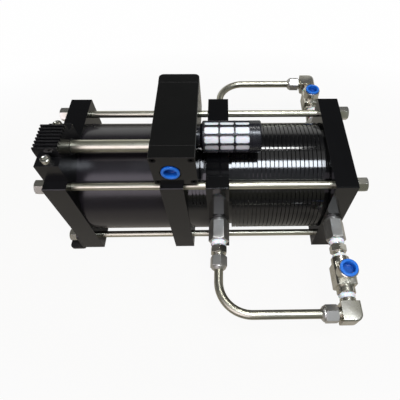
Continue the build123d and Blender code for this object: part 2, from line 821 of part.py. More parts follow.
def piston(middle, length, bore):
    """A piston with one seal groove and a bore for the rod's neck."""
    x0, x1 = middle - length / 2, middle + length / 2
    outer = bore - 2 * piston_gap
    body = chamfer(along_x(x0, x1, outer).edges(), 1.0)
    half = piston_seal_width / 2 + seal_groove_clearance
    groove = along_x(middle - half, middle + half, bore)
    body -= groove - along_x(middle - half - 1, middle + half + 1, outer - 2 * piston_seal_depth)
    return body - along_x(x0 - 1, x1 + 1, piston_neck_diameter + 2 * piston_neck_clearance)


def piston_seals():
    rings = []
    for middle, bore in ((drive_middle, drive_bore), (gas_middle, gas_bore)):
        half = piston_seal_width / 2
        outer = bore - 2 * seal_running_clearance
        inner = bore - 2 * piston_gap - 2 * piston_seal_depth + 2 * seal_groove_clearance
        rings.append(along_x(middle - half, middle + half, outer)
                     - along_x(middle - half - 1, middle + half + 1, inner))
    return rings


def piston_rod():
    """The rod, with a neck at each end that carries a piston and its nut."""
    a, b = drive_middle + drive_piston_length / 2, gas_middle - gas_piston_length / 2
    neck_a = drive_middle - drive_piston_length / 2 - piston_nut_length
    neck_b = gas_middle + gas_piston_length / 2 + piston_nut_length
    return along_x(a, b, piston_rod_diameter) + along_x(neck_a, neck_b, piston_neck_diameter)


def piston_nuts():
    nut = chamfered_hex(piston_nut_across_flats, 0, piston_nut_length)
    nut -= bar(-1, piston_nut_length + 1, piston_neck_diameter + 2 * nut_bore_clearance)
    left = drive_middle - drive_piston_length / 2
    right = gas_middle + gas_piston_length / 2
    return [Pos(left, 0, axis_z) * Rot(0, -90, 0) * nut, Pos(right, 0, axis_z) * Rot(0, 90, 0) * nut]


# Pilot valves: each is modelled along Z, with zero at the chamber's face and the stem's tip below it

def pilot_stem():
    guide = pilot_guide_length
    tip = chamfer(bar(-pilot_reach, guide, pilot_stem_diameter).edges().group_by(Axis.Z)[0], 0.8)
    return tip + bar(guide, guide + pilot_head_length, pilot_head_diameter)


def pilot_spring():
    start = pilot_guide_length + pilot_head_length
    return ring(start, start + pilot_spring_length, pilot_head_diameter,
                pilot_head_diameter - 2 * pilot_spring_wall)


def pilot_cap():
    start = pilot_guide_length + pilot_head_length + pilot_spring_length
    cap = bar(start, plate_thickness, pilot_chamber_diameter - 2 * pilot_cap_clearance)
    return cap - hex_bar(pilot_cap_socket, plate_thickness - pilot_cap_socket_depth, plate_thickness + 1)


def place_pilot(piece, face, inward):
    return Pos(face, 0, pilot_z) * Rot(0, 90 * inward, 0) * piece


# Gas fittings: each is modelled along Z, counted outwards from a gas plate's side face

def check_body():
    """A check valve's hexagon body, with its collar, shank, seat and spring chamber."""
    body = bar(-port_shank_length + 1, 0, port_shank_diameter)
    body += bar(0, check_collar_length, check_collar_diameter)
    body += chamfered_hex(check_across_flats, check_collar_length, check_length, both=False)
    body -= bar(-port_shank_length, check_seat_at + 1, check_seat_diameter)
    body -= bar(check_seat_at, check_chamber_end + 1, check_chamber_diameter)
    socket = adapter_shank_diameter + 2 * thread_clearance
    return body - bar(check_chamber_end, check_length + 1, socket)


def poppet_and_spring(outlet):
    """The poppet on its seat and its spring; an inlet valve has them the other way round."""
    low, high = check_seat_at, check_chamber_end
    disc = bar(0, poppet_length, poppet_diameter)
    notch = Box(poppet_notch_depth, poppet_notch_width, 2 * poppet_length)
    for i in range(poppet_notch_count):
        spin = Rot(0, 0, i * 360 / poppet_notch_count)
        disc -= spin * Pos(poppet_diameter / 2, 0, poppet_length / 2) * notch
    poppet = disc + bar(poppet_length, poppet_length + poppet_stem_length, poppet_stem_diameter)
    bore = check_spring_diameter - 2 * check_spring_wall
    spring = ring(poppet_length, high - low, check_spring_diameter, bore)
    if outlet:
        return Pos(0, 0, low) * poppet, Pos(0, 0, low) * spring
    turn = Pos(0, 0, high) * Rot(180, 0, 0)
    return turn * poppet, turn * spring


def tube_connector():
    """From a check valve to a tube: pipe thread, hexagon and the nut's thread with the tube's seat."""
    start, hexagon = check_chamber_end, check_length + tape_gap
    body = bar(start, check_length, adapter_shank_diameter)
    body += bar(check_length, hexagon, adapter_neck_diameter)
    body += chamfered_hex(adapter_across_flats, hexagon, adapter_hex_end)
    body += bar(adapter_hex_end, connector_thread_end, connector_thread_diameter)
    body -= bar(start - 1, tube_stop_at + 1, flow_bore_diameter)
    return body - bar(tube_stop_at, connector_thread_end + 1, tube_diameter + 2 * tube_clearance)


def hex_nipple():
    """From a check valve to a tee: two pipe threads and a hexagon between them."""
    start, hexagon = check_chamber_end, check_length + tape_gap
    end = tee_start + adapter_shank_length
    body = bar(start, check_length, adapter_shank_diameter)
    body += bar(check_length, tee_start, adapter_neck_diameter)
    body += bar(tee_start, end, adapter_shank_diameter)
    body += chamfered_hex(adapter_across_flats, hexagon, adapter_hex_end)
    return body - bar(start - 1, end + 1, flow_bore_diameter)


def tube_nut():
    """A tube nut, with its skirt end first and a bore that fits the tube at the other end."""
    start, end = tube_nut_start, tube_nut_start + tube_nut_length
    nut = chamfered_hex(tube_nut_across_flats, start, end - tube_nut_skirt)
    skirt = bar(end - tube_nut_skirt, end, tube_nut_across_flats - 1)
    nut += chamfer(skirt.edges().group_by(Axis.Z)[-1], tube_nut_skirt_break)
    nut -= bar(start - 1, connector_thread_end + 0.5, connector_thread_diameter + 2 * thread_clearance)
    return nut - bar(start, end + 1, tube_diameter + 2 * tube_clearance)


def place_fitting(piece, x, side):
    """Stand a fitting on a gas plate's front face (side -1) or rear face (side +1)."""
    return Pos(x, side * plate_side / 2, axis_z) * Rot(-90 * side, 0, 0) * piece


def bent_tube(side):
    """One tube: out from the inner gas plate, one bend, then along to the elbow."""
    face = side * plate_side / 2
    run = face + side * tube_run_offset
    start = (inner_port_x, face + side * tube_stop_at, axis_z)
    path = FilletPolyline(start, (inner_port_x, run, axis_z), (elbow_stop_x, run, axis_z),
                          radius=tube_bend_radius)
    section = Plane(origin=start, z_dir=(0, side, 0))
    outer = sweep(section * Circle(tube_diameter / 2), path)
    return outer - sweep(section * Circle(tube_diameter / 2 - tube_wall), path)


def elbow(side):
    """Elbow from the tube's run into the tee: rounded body, nut thread and pipe thread."""
    face = side * plate_side / 2
    run = face + side * tube_run_offset
    pipe_end = face + side * tee_end
    x = outer_port_x
    h = elbow_half
    body = block(x - h, x + h, run - h, run + h, axis_z - h, axis_z + h)
    outer_corner = body.edges().filter_by(Axis.Z).sort_by_distance((x + h, run + side * h, axis_z))[0]
    body = fillet(outer_corner, elbow_round)
    body = chamfer(body.edges().filter_by(Axis.X) + body.edges().filter_by(Axis.Y), elbow_break)
    thread_x = x - h - connector_thread_length
    body += along_x(thread_x, x - h + 1, connector_thread_diameter, run)
    neck = run - side * h
    body += along_y(*sorted((neck, neck - side * elbow_neck_length)), elbow_neck_diameter, x)
    body += along_y(*sorted((neck, pipe_end)), adapter_neck_diameter, x)
    body += along_y(*sorted((pipe_end, pipe_end - side * adapter_shank_length)), adapter_shank_diameter, x)
    past = flow_bore_diameter / 2
    body -= along_x(elbow_stop_x - 1, x + past, flow_bore_diameter, run)
    body -= along_y(*sorted((run + side * past, pipe_end - side * (adapter_shank_length + 1))),
                    flow_bore_diameter, x)
    return body - along_x(thread_x - 1, elbow_stop_x, tube_diameter + 2 * tube_clearance, run)


def elbow_nut(side):
    """The tube nut on an elbow."""
    run = side * (plate_side / 2 + tube_run_offset)
    nut = Pos(0, 0, -adapter_hex_end) * tube_nut()
    return Pos(outer_port_x - elbow_half, run, axis_z) * Rot(0, -90, 0) * nut


def tee():
    """A tee on the Z axis with its branch along +X: block, two collars, a branch and three ports."""
    a, b, middle = tee_start, tee_end, tee_middle
    half = tee_block_side / 2
    body = bar(a, b, tee_collar_diameter)
    body = chamfer(body.edges(), 1.0)
    core = block(-half, half, -half, half, middle - tee_block_length / 2, middle + tee_block_length / 2)
    body += chamfer(core.edges().filter_by(Axis.Z), tee_block_break)
    branch = Rot(0, 90, 0) * Cylinder(tee_branch_diameter / 2, tee_branch_height)
    branch = Pos(tee_branch_height / 2, 0, middle) * branch
    body += chamfer(branch.edges().group_by(Axis.X)[-1], 1.0)
    body -= bar(a - 1, b + 1, flow_bore_diameter)
    socket = adapter_shank_diameter + 2 * thread_clearance
    body -= bar(a - 1, a + adapter_shank_length, socket)
    body -= bar(b - adapter_shank_length, b + 1, socket)
    top = tee_branch_height
    for depth, diameter in ((port_mouth_length, port_mouth_diameter),
                            (port_mouth_length + port_thread_length, port_thread_diameter),
                            (top, flow_bore_diameter)):
        cut = Rot(0, 90, 0) * Cylinder(diameter / 2, depth + 1)
        body -= Pos(top - depth / 2 + 0.5, 0, middle) * cut
    return body


def place_tee(piece, side):
    """Stand a tee on the outer gas plate's fittings with its branch pointing up."""
    return place_fitting(Rot(0, 0, -90 * side) * piece, outer_port_x, side)


def port_plug():
    """A plastic cap plug: flange above zero, skirt below it, hollow from the top."""
    skirt = plug_diameter / 2
    inner = skirt - plug_wall
    outline = [(0, -plug_skirt_length), (skirt - 0.6, -plug_skirt_length), (skirt, -plug_skirt_length + 0.6),
               (skirt, 0), (plug_flange_diameter / 2, 0), (plug_flange_diameter / 2, plug_flange_length - 1),
               (plug_flange_diameter / 2 - 1, plug_flange_length), (inner, plug_flange_length),
               (inner - 0.5, -plug_skirt_length + plug_wall), (0, -plug_skirt_length + plug_wall)]
    return turned(outline)


def air_port_plug():
    seat = valve_y0 + port_spotface_depth
    return Pos(valve_axis_x, seat, valve_axis_z) * Rot(90, 0, 0) * port_plug()


def tee_plug(side):
    y = side * (plate_side / 2 + tee_middle)
    return Pos(outer_port_x, y, axis_z + tee_branch_height) * port_plug()


# Collect the nodes and write them

def all_nodes():
    nodes = {
        "left_end_plate": left_end_plate(),
        "drive_port_plate": drive_port_plate(),
        "inner_gas_plate": inner_gas_plate(),
        "outer_gas_plate": outer_gas_plate(),
        "drive_barrel": plain_barrel(left_inner, port_left, drive_outer_diameter, drive_bore),
        "distance_barrel": distance_barrel(),
        "gas_barrel": gas_barrel(),
        "barrel_gaskets": barrel_gaskets(),
        "tie_rods": tie_rods(),
        "tie_rod_nuts": tie_rod_nuts(),
        "left_foot": foot(-1),
        "right_foot": foot(1),
        "pilot_head": pilot_head(),
        "pilot_head_screws": pilot_head_screws(),
        "flow_tube": flow_tube(),
        "flow_tube_seals": flow_tube_seals(),
        "valve_body": valve_body(),
        "valve_front_cover": valve_front_cover(),
        "valve_rear_cover": valve_rear_cover(),
        "valve_cover_screws": valve_cover_screws(),
        "valve_sleeve": valve_sleeve(),
        "valve_spool": valve_spool(),
        "muffler_cage": muffler_cage(),
        "muffler_core": muffler_core(),
        "muffler_cap": muffler_cap(),
        "rod_glands": rod_glands(),
        "drive_piston": piston(drive_middle, drive_piston_length, drive_bore),
        "gas_piston": piston(gas_middle, gas_piston_length, gas_bore),
        "piston_seals": piston_seals(),
        "piston_rod": piston_rod(),
        "piston_nuts": piston_nuts(),
        "air_port_plug": air_port_plug(),
    }
    pilots = (("left", left_inner, -1), ("right", port_left, 1))
    for name, face, inward in pilots:
        nodes[f"{name}_pilot_stem"] = place_pilot(pilot_stem(), face, inward)
        nodes[f"{name}_pilot_spring"] = place_pilot(pilot_spring(), face, inward)
    nodes["pilot_caps"] = [place_pilot(pilot_cap(), face, inward) for _, face, inward in pilots]
    sides = (("front", -1), ("rear", 1))
    for name, side in sides:
        for place, x in (("inner", inner_port_x), ("outer", outer_port_x)):
            poppet, spring = poppet_and_spring(outlet=side < 0)
            nodes[f"{name}_{place}_check_body"] = place_fitting(check_body(), x, side)
            nodes[f"{name}_{place}_check_poppet"] = place_fitting(poppet, x, side)
            nodes[f"{name}_{place}_check_spring"] = place_fitting(spring, x, side)
        nodes[f"{name}_tube"] = bent_tube(side)
        nodes[f"{name}_elbow"] = elbow(side)
        nodes[f"{name}_tee"] = place_tee(tee(), side)
        nodes[f"{name}_tee_plug"] = tee_plug(side)
    nodes["tube_connectors"] = [place_fitting(tube_connector(), inner_port_x, side) for _, side in sides]
    nodes["hex_nipples"] = [place_fitting(hex_nipple(), outer_port_x, side) for _, side in sides]
    nodes["tube_nuts"] = ([place_fitting(tube_nut(), inner_port_x, side) for _, side in sides]
                          + [elbow_nut(side) for _, side in sides])
    return nodes


def write(name, piece):
    """Write one node; a list becomes one compound of separate solids."""
    shape = Compound(children=[p for p in piece]) if isinstance(piece, list) else piece
    export_step(shape, f"parts/{name}.step")


os.makedirs("parts", exist_ok=True)
for node_name, node_shape in all_nodes().items():
    write(node_name, node_shape)
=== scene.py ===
"""Looks of an air-driven gas booster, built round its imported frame.

+Z is up, the drive and gas cylinders lie along X and the fittings' front side faces -Y. The frame and the
studio are in metres. The sizes of the machine's pieces are in millimetres and become metres where a mesh
is made. Most machined pieces keep their own meshes and get finishes here. Fins, hexagons, windows, springs,
threads, thread tape and knurled screws are made here as meshes that stand for the plainer solids.
"""
import logging
import math
from collections.abc import Callable, Sequence
from dataclasses import dataclass, field
from enum import Enum

import bmesh
import bpy
from mathutils import Matrix, Vector


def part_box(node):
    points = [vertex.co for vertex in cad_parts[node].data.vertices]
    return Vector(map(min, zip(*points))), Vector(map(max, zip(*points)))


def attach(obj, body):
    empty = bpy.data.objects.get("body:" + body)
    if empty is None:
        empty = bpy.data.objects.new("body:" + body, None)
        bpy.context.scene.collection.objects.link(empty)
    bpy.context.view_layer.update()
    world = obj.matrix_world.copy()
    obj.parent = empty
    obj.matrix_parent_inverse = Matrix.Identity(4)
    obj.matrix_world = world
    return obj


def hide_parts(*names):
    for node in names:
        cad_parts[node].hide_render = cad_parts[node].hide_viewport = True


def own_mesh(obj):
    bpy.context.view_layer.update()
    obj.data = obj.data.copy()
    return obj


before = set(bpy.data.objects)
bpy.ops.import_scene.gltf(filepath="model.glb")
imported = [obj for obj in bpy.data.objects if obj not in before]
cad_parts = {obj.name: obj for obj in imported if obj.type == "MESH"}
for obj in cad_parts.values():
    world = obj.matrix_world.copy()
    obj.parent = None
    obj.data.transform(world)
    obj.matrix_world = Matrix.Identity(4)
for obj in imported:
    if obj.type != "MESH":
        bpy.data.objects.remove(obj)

log = logging.getLogger("booster")
Socket = bpy.types.NodeSocket
Shape = bmesh.types.BMesh

MM = 0.001
FRAME_SHARP_ANGLE = 24.0
FRAME_WELD = 2.0e-6
SHARP_ANGLE = 20.0
WELD = 1.0e-6
CONE_ROWS = 5
THREAD_ROWS = 8
ROUND_ROWS = 5
SMALL_BREAK = 0.3
EASE = 0.6
WHITE = (1.0, 1.0, 1.0, 1.0)
TO_RIGHT = Vector((1.0, 0.0, 0.0))
TO_LEFT = Vector((-1.0, 0.0, 0.0))
UPWARD = Vector((0.0, 0.0, 1.0))


class Grain(Enum):
    """How the fine lines of a worked surface run."""

    EVEN = (1.0, 1.0, 1.0)
    ALONG_X = (0.02, 1.0, 1.0)
    ROUND_X = (1.0, 0.02, 0.02)
    ROUND_Y = (0.02, 1.0, 0.02)


class Side(Enum):
    """The two sides of the machine that carry gas fittings."""

    FRONT = -1
    REAR = 1


def linear(red: int, green: int, blue: int) -> tuple[float, float, float, float]:
    """Turn a display colour into the shader's linear one.

    Args:
        red: Red from 0 to 255.
        green: Green from 0 to 255.
        blue: Blue from 0 to 255.

    Returns:
        The linear colour with full alpha.
    """
    def one(value: int) -> float:
        """One channel's linear value."""
        share = value / 255
        return share / 12.92 if share <= 0.04045 else ((share + 0.055) / 1.055) ** 2.4

    return one(red), one(green), one(blue), 1.0


class Graph:
    """A node tree under construction, with short ways to add and join its nodes."""

    def __init__(self, tree: bpy.types.NodeTree) -> None:
        """Take the tree."""
        self.tree = tree

    def add(self, kind: str, **values: object) -> bpy.types.Node:
        """Add a node.

        Args:
            kind: The node's type name.
            **values: Attributes of the node, or its inputs by name with blanks as underscores.

        Returns:
            The new node.
        """
        node = self.tree.nodes.new(kind)
        for key, value in values.items():
            if hasattr(node, key):
                setattr(node, key, value)
            else:
                node.inputs[key.replace("_", " ")].default_value = value
        return node

    def join(self, source: Socket, target: Socket) -> None:
        """Join two sockets."""
        self.tree.links.new(source, target)

    def maths(self, operation: str, *terms: Socket | float) -> Socket:
        """Work on numbers.

        Args:
            operation: The maths node's operation.
            *terms: Sockets or plain numbers.

        Returns:
            The result.
        """
        node = self.add("ShaderNodeMath", operation=operation)
        for term, entry in zip(terms, node.inputs):
            if isinstance(term, float):
                entry.default_value = term
            else:
                self.join(term, entry)
        return node.outputs[0]

    def scaled(self, vector: Socket, factors: Sequence[float]) -> Socket:
        """A vector times a fixed one."""
        node = self.add("ShaderNodeVectorMath", operation="MULTIPLY")
        self.join(vector, node.inputs[0])
        node.inputs[1].default_value = factors
        return node.outputs[0]

    def span(self, value: Socket, low: float, high: float, to_low: float = 0.0,
             to_high: float = 1.0) -> Socket:
        """Map a value's range onto another, clamped.

        Args:
            value: What is mapped.
            low: Start of its range.
            high: End of its range.
            to_low: What the start becomes.
            to_high: What the end becomes.

        Returns:
            The mapped value.
        """
        node = self.add("ShaderNodeMapRange", From_Min=low, From_Max=high, To_Min=to_low, To_Max=to_high)
        self.join(value, node.inputs["Value"])
        return node.outputs["Result"]

    def mix(self, share: Socket, one: Sequence[float], two: Sequence[float]) -> Socket:
        """Mix two plain colours by a share.

        Args:
            share: 0 for the first colour and 1 for the second.
            one: The first colour.
            two: The second colour.

        Returns:
            The mixed colour.
        """
        node = self.add("ShaderNodeMix", data_type="RGBA")
        self.join(share, node.inputs[0])
        node.inputs[6].default_value = one
        node.inputs[7].default_value = two
        return node.outputs[2]

    def end(self, output: str, share: Socket, one: bpy.types.Node, two: bpy.types.Node) -> None:
        """End the tree with a mix of two shaders.

        Args:
            output: The output node's type name.
            share: 0 for the first shader and 1 for the second.
            one: The first shader's node.
            two: The second shader's node.
        """
        pick = self.add("ShaderNodeMixShader")
        for source, entry in zip((share, one.outputs[0], two.outputs[0]), pick.inputs):
            self.join(source, entry)
        self.join(pick.outputs[0], self.add(output).inputs[0])


class Shader(Graph):
    """A material with one principled shader, under construction."""

    def __init__(self, name: str) -> None:
        """Start the material."""
        self.material = bpy.data.materials.new(name)
        self.material.use_nodes = True
        super().__init__(self.material.node_tree)
        self.surface = self.tree.nodes["Principled BSDF"]
        self.place = self.add("ShaderNodeTexCoord").outputs["Object"]

    def noise(self, scale: float, grain: Grain = Grain.EVEN, detail: float = 2.0,
              rough: float = 0.5) -> Socket:
        """A noise from 0 to 1 with a given number of grains per metre.

        Args:
            scale: Grains per metre.
            grain: The direction of its lines.
            detail: Octaves.
            rough: Weight of the finer octaves.

        Returns:
            The noise value.
        """
        node = self.add("ShaderNodeTexNoise", Scale=scale, Detail=detail, Roughness=rough)
        self.join(self.scaled(self.place, grain.value), node.inputs["Vector"])
        return node.outputs["Fac"]

    def painted_hollow_shade(self, reach: float) -> Socket:
        """A painted-shade mask, 1 deep in hollows where shade falls and 0 on open faces, from walls within a
        reach.
        """
        near = self.add("ShaderNodeAmbientOcclusion", samples=8, Distance=reach)
        return self.span(near.outputs["AO"], 0.75, 0.3)

    def edge(self, radius: float) -> Socket:
        """A mask that is 1 on outer edges, as far as a radius from them, and 0 on open faces."""
        bevel = self.add("ShaderNodeBevel", samples=4, Radius=radius)
        geometry = self.add("ShaderNodeNewGeometry")
        dot = self.add("ShaderNodeVectorMath", operation="DOT_PRODUCT")
        self.join(bevel.outputs["Normal"], dot.inputs[0])
        self.join(geometry.outputs["Normal"], dot.inputs[1])
        return self.span(dot.outputs["Value"], 0.995, 0.9)

    def bump(self, height: Socket, depth: float, rounding: float = 0.0) -> None:
        """Give the surface a relief and, if asked, rounded-looking edges.

        Args:
            height: The relief from 0 to 1.
            depth: Its real depth in metres.
            rounding: Radius of the rounded edges in metres.
        """
        node = self.add("ShaderNodeBump", Distance=depth, Strength=1.0)
        if rounding:
            soft = self.add("ShaderNodeBevel", samples=4, Radius=rounding)
            self.join(soft.outputs["Normal"], node.inputs["Normal"])
        self.join(height, node.inputs["Height"])
        self.join(node.outputs["Normal"], self.surface.inputs["Normal"])

    def fixed(self, **values: object) -> None:
        """Set uniform values on the principled shader's own sockets."""
        for key, value in values.items():
            self.surface.inputs[key.replace("_", " ")].default_value = value

    def drive(self, socket: str, value: Socket) -> None:
        """Join a value to one of the principled shader's sockets."""
        self.join(value, self.surface.inputs[socket])


@dataclass(frozen=True)
class Finish:
    """A surface finish. Each kind says in dress() how its shader is built."""

    name: str

    def dress(self, shader: Shader) -> None:
        """Build the finish's nodes."""
        raise NotImplementedError

    def material(self) -> bpy.types.Material:
        """The finish's material, made once."""
        found = bpy.data.materials.get(self.name)
        if found is None:
            shader = Shader(self.name)
            self.dress(shader)
            found = shader.material
        return found


@dataclass(frozen=True)
class Metal(Finish):
    """Machined metal, with fine lines in its gloss and relief, and broad patches in its gloss."""

    colour: tuple[int, int, int] = (13, 13, 14)
    gloss: float = 0.09
    rougher: float = 0.05
    lines: Grain = Grain.EVEN
    lines_per_metre: float = 1600.0
    relief: float = 1.5e-6
    rounding: float = 0.0006
    patches_per_metre: float = 30.0
    patch_limit: float = 0.7

    def work(self, shader: Shader) -> Socket:
        """Build the lines and the gloss.

        Args:
            shader: The shader under construction.

        Returns:
            The patches, from 0 to 1.
        """
        fine = shader.noise(self.lines_per_metre, self.lines, detail=3.0)
        broad = shader.noise(self.patches_per_metre, detail=4.0, rough=0.6)
        lined = shader.span(fine, 0.3, 0.7, 0.0, self.rougher * 0.5)
        patched = shader.span(broad, 0.35, self.patch_limit, self.gloss, self.gloss + self.rougher)
        shader.drive("Roughness", shader.maths("ADD", lined, patched))
        shader.bump(fine, self.relief, self.rounding)
        return broad


@dataclass(frozen=True)
class Anodised(Metal):
    """Black anodised aluminium with softened edges and slightly paler wear on them."""

    worn: tuple[int, int, int] = (52, 50, 49)
    edge_reach: float = 0.0005
    chips_per_metre: float = 900.0
    index: float = 1.4

    def dress(self, shader: Shader) -> None:
        """Black with pale, chipped edges."""
        self.work(shader)
        chips = shader.span(shader.noise(self.chips_per_metre, detail=3.0), 0.46, 0.66)
        wear = shader.maths("MULTIPLY", shader.edge(self.edge_reach), chips)
        shader.drive("Base Color", shader.mix(wear, linear(*self.colour), linear(*self.worn)))
        shader.fixed(IOR=self.index)


@dataclass(frozen=True)
class Steel(Metal):
    """Stainless or plated metal with faint stains."""

    colour: tuple[int, int, int] = (207, 206, 192)
    gloss: float = 0.11
    rougher: float = 0.08
    lines_per_metre: float = 2500.0
    rounding: float = 0.0
    patches_per_metre: float = 45.0
    patch_limit: float = 0.75
    stain: tuple[int, int, int] = (184, 180, 160)

    def dress(self, shader: Shader) -> None:
        """Metal with broad stains."""
        tone = shader.span(self.work(shader), 0.4, 0.75)
        shader.drive("Base Color", shader.mix(tone, linear(*self.colour), linear(*self.stain)))
        shader.fixed(Metallic=1.0)


@dataclass(frozen=True)
class Plastic(Finish):
    """Moulded plastic, paint or rubber with a fine orange-peel relief."""

    colour: tuple[int, int, int] = (20, 20, 22)
    # With a reach for hollows set, the second colour is painted shade in hollows; otherwise it is a second
    # random tone.
    second: tuple[int, int, int] = (28, 28, 30)
    gloss: float = 0.25
    rougher: float = 0.15
    peel_per_metre: float = 700.0
    tones_per_metre: float = 60.0
    relief: float = 1.2e-5
    soft: float = 0.0
    soft_reach: float = 0.002
    index: float = 1.45
    # Reach of the painted shade in hollows, and 0 for none.
    painted_shade_reach: float = 0.0

    def dress(self, shader: Shader) -> None:
        """Two near tones, or a darker one painted in hollows as shade, with uneven gloss and a pebbled
        surface.
        """
        peel = shader.noise(self.peel_per_metre, detail=3.0)
        if self.painted_shade_reach:
            # Painted shade: the second colour darkens the hollows, where shade falls.
            share = shader.painted_hollow_shade(self.painted_shade_reach)
        else:
            share = shader.span(shader.noise(self.tones_per_metre, detail=3.0), 0.35, 0.7)
        shader.drive("Base Color", shader.mix(share, linear(*self.colour), linear(*self.second)))
        shader.drive("Roughness", shader.span(peel, 0.3, 0.7, self.gloss, self.gloss + self.rougher))
        shader.bump(peel, self.relief)
        shader.fixed(IOR=self.index)
        if self.soft:
            shader.fixed(Subsurface_Weight=self.soft, Subsurface_Scale=self.soft_reach)


class Finishes:
    """Every finish of the machine, by the record's name for it."""

    black_plate = Anodised("black_plate_finish")
    valve_black = Anodised("valve_black_finish", colour=(17, 17, 16), gloss=0.13)
    black_head = Anodised("black_head_finish", colour=(14, 14, 15), gloss=0.2, lines=Grain.ALONG_X)
    satin_barrel = Anodised("satin_barrel_finish", colour=(25, 22, 26), gloss=0.2, rougher=0.05,
                            lines=Grain.ALONG_X, lines_per_metre=1100.0, relief=3.0e-6, index=1.5)
    gloss_barrel = Anodised("gloss_barrel_finish", colour=(13, 13, 14), gloss=0.07, rougher=0.04,
                            lines=Grain.ROUND_X, lines_per_metre=2400.0, rounding=0.0, index=1.55)
    rod_steel = Steel("rod_steel_finish", colour=(190, 188, 172), lines=Grain.ALONG_X, gloss=0.27,
                      relief=3.0e-7)
    tube_steel = Steel("tube_steel_finish", colour=(176, 174, 160), gloss=0.27, relief=3.0e-7)
    nut_steel = Steel("nut_steel_finish", colour=(212, 211, 206), gloss=0.24, relief=6.0e-7, rounding=0.0004)
    satin_steel = Steel("satin_steel_finish", colour=(203, 202, 198), stain=(188, 186, 180), gloss=0.34,
                        relief=6.0e-7, rounding=0.0004)
    fitting_steel = Steel("fitting_steel_finish", colour=(208, 206, 198), gloss=0.2, relief=5.0e-7,
                          rounding=0.0005)
    bright_screw = Steel("bright_screw_finish", colour=(218, 217, 210), gloss=0.14)
    sleeve_steel = Steel("sleeve_steel_finish", lines=Grain.ROUND_Y)
    spring_steel = Steel("spring_steel_finish", colour=(170, 168, 164), gloss=0.25)
    poppet_steel = Steel("poppet_steel_finish")
    rod_chrome = Steel("rod_chrome_finish", colour=(216, 217, 220), gloss=0.07, rougher=0.04)
    piston_aluminium = Steel("piston_aluminium_finish", colour=(208, 209, 212), gloss=0.28,
                             lines=Grain.ROUND_X)
    bush_bronze = Steel("bush_bronze_finish", colour=(190, 138, 84), stain=(150, 104, 62), gloss=0.25)
    dark_screw = Steel("dark_screw_finish", colour=(34, 34, 35), stain=(26, 26, 27), gloss=0.3)
    foot_paint = Plastic("foot_paint_finish", colour=(17, 17, 18), second=(22, 22, 23), gloss=0.3)
    cage_plastic = Plastic("cage_plastic_finish", colour=(20, 20, 25), second=(25, 25, 31), gloss=0.2,
                           peel_per_metre=420.0)
    seal_rubber = Plastic("seal_rubber_finish", colour=(24, 24, 24), second=(30, 30, 30), gloss=0.5)
    core_white = Plastic("core_white_finish", colour=(234, 235, 236), second=(226, 227, 228), gloss=0.7,
                         rougher=0.2, peel_per_metre=1500.0, relief=6.0e-5, soft=0.15)
    # The plug's second, deep blue is painted shade in its hollow.
    plug_blue = Plastic("plug_blue_finish", colour=(34, 112, 208), second=(4, 40, 118), gloss=0.2,
                        rougher=0.1, relief=5.0e-6, painted_shade_reach=0.012)
    thread_tape = Plastic("thread_tape_finish", colour=(245, 245, 247), second=(232, 232, 234), gloss=0.38,
                          peel_per_metre=1100.0, relief=3.0e-5, soft=0.3)


def smooth_group() -> bpy.types.NodeTree:
    """Geometry nodes, made once, that weld a mesh and shade it smooth up to its sharp edges."""
    found = bpy.data.node_groups.get("weld_and_smooth")
    if found is not None:
        return found
    group = bpy.data.node_groups.new("weld_and_smooth", "GeometryNodeTree")
    for way in ("INPUT", "OUTPUT"):
        group.interface.new_socket("Geometry", in_out=way, socket_type="NodeSocketGeometry")
    graph = Graph(group)
    steps = [graph.add("NodeGroupInput"), graph.add("GeometryNodeMergeByDistance", Distance=FRAME_WELD),
             graph.add("GeometryNodeSetShadeSmooth"), graph.add("GeometryNodeSetShadeSmooth", domain="EDGE"),
             graph.add("NodeGroupOutput")]
    for before, after in zip(steps, steps[1:]):
        graph.join(before.outputs[0], after.inputs[0])
    angle = graph.add("GeometryNodeInputMeshEdgeAngle")
    blunt = graph.add("FunctionNodeCompare", operation="LESS_THAN", B=math.radians(FRAME_SHARP_ANGLE))
    graph.join(angle.outputs["Unsigned Angle"], blunt.inputs["A"])
    graph.join(blunt.outputs["Result"], steps[3].inputs["Shade Smooth"])
    return group


def dress_node(name: str, finish: Finish) -> None:
    """Give a machined piece its finish and smooth shading.

    Args:
        name: The piece's name in the frame.
        finish: Its finish.
    """
    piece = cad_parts[name]
    slots = piece.material_slots
    if not slots:
        piece.data.materials.append(finish.material())
    for entry in slots:
        entry.material = finish.material()
    mesh = piece.data
    if mesh.has_custom_normals:
        mesh.attributes.remove(mesh.attributes["custom_normal"])
    modifier = piece.modifiers.new("smooth", "NODES")
    modifier.node_group = smooth_group()
    log.info("dressed %s in %s", name, finish.name)


def new_piece(name: str, shape: Shape, finish: Finish, body: str = "housing",
              stands_for: Sequence[str] = ()) -> bpy.types.Object:
    """Make a shown piece of the machine from a mesh.

    Args:
        name: The piece's name.
        shape: Its mesh, freed here.
        finish: Its finish.
        body: The body that it rides on.
        stands_for: The frame's nodes that it is shown in place of.

    Returns:
        The new object.
    """
    mesh = bpy.data.meshes.new(name)
    bmesh.ops.remove_doubles(shape, verts=shape.verts, dist=WELD)
    bmesh.ops.recalc_face_normals(shape, faces=shape.faces)
    for face in shape.faces:
        face.smooth = True
    for edge in shape.edges:
        edge.smooth = len(edge.link_faces) == 2 and edge.calc_face_angle(math.pi) < math.radians(SHARP_ANGLE)
    shape.to_mesh(mesh)
    shape.free()
    mesh.materials.append(finish.material())
    piece = bpy.data.objects.new(name, mesh)
    bpy.context.scene.collection.objects.link(piece)
    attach(piece, body)
    if stands_for:
        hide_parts(*stands_for)
    log.info("made %s with %d faces", name, len(mesh.polygons))
    return piece


class Closing(Enum):
    """How a skin over rings of points ends."""

    LOOP = "the last ring joins the first"
    CAPS = "a face on the first and last rings"
    OPEN = "open edges, which another skin meets"


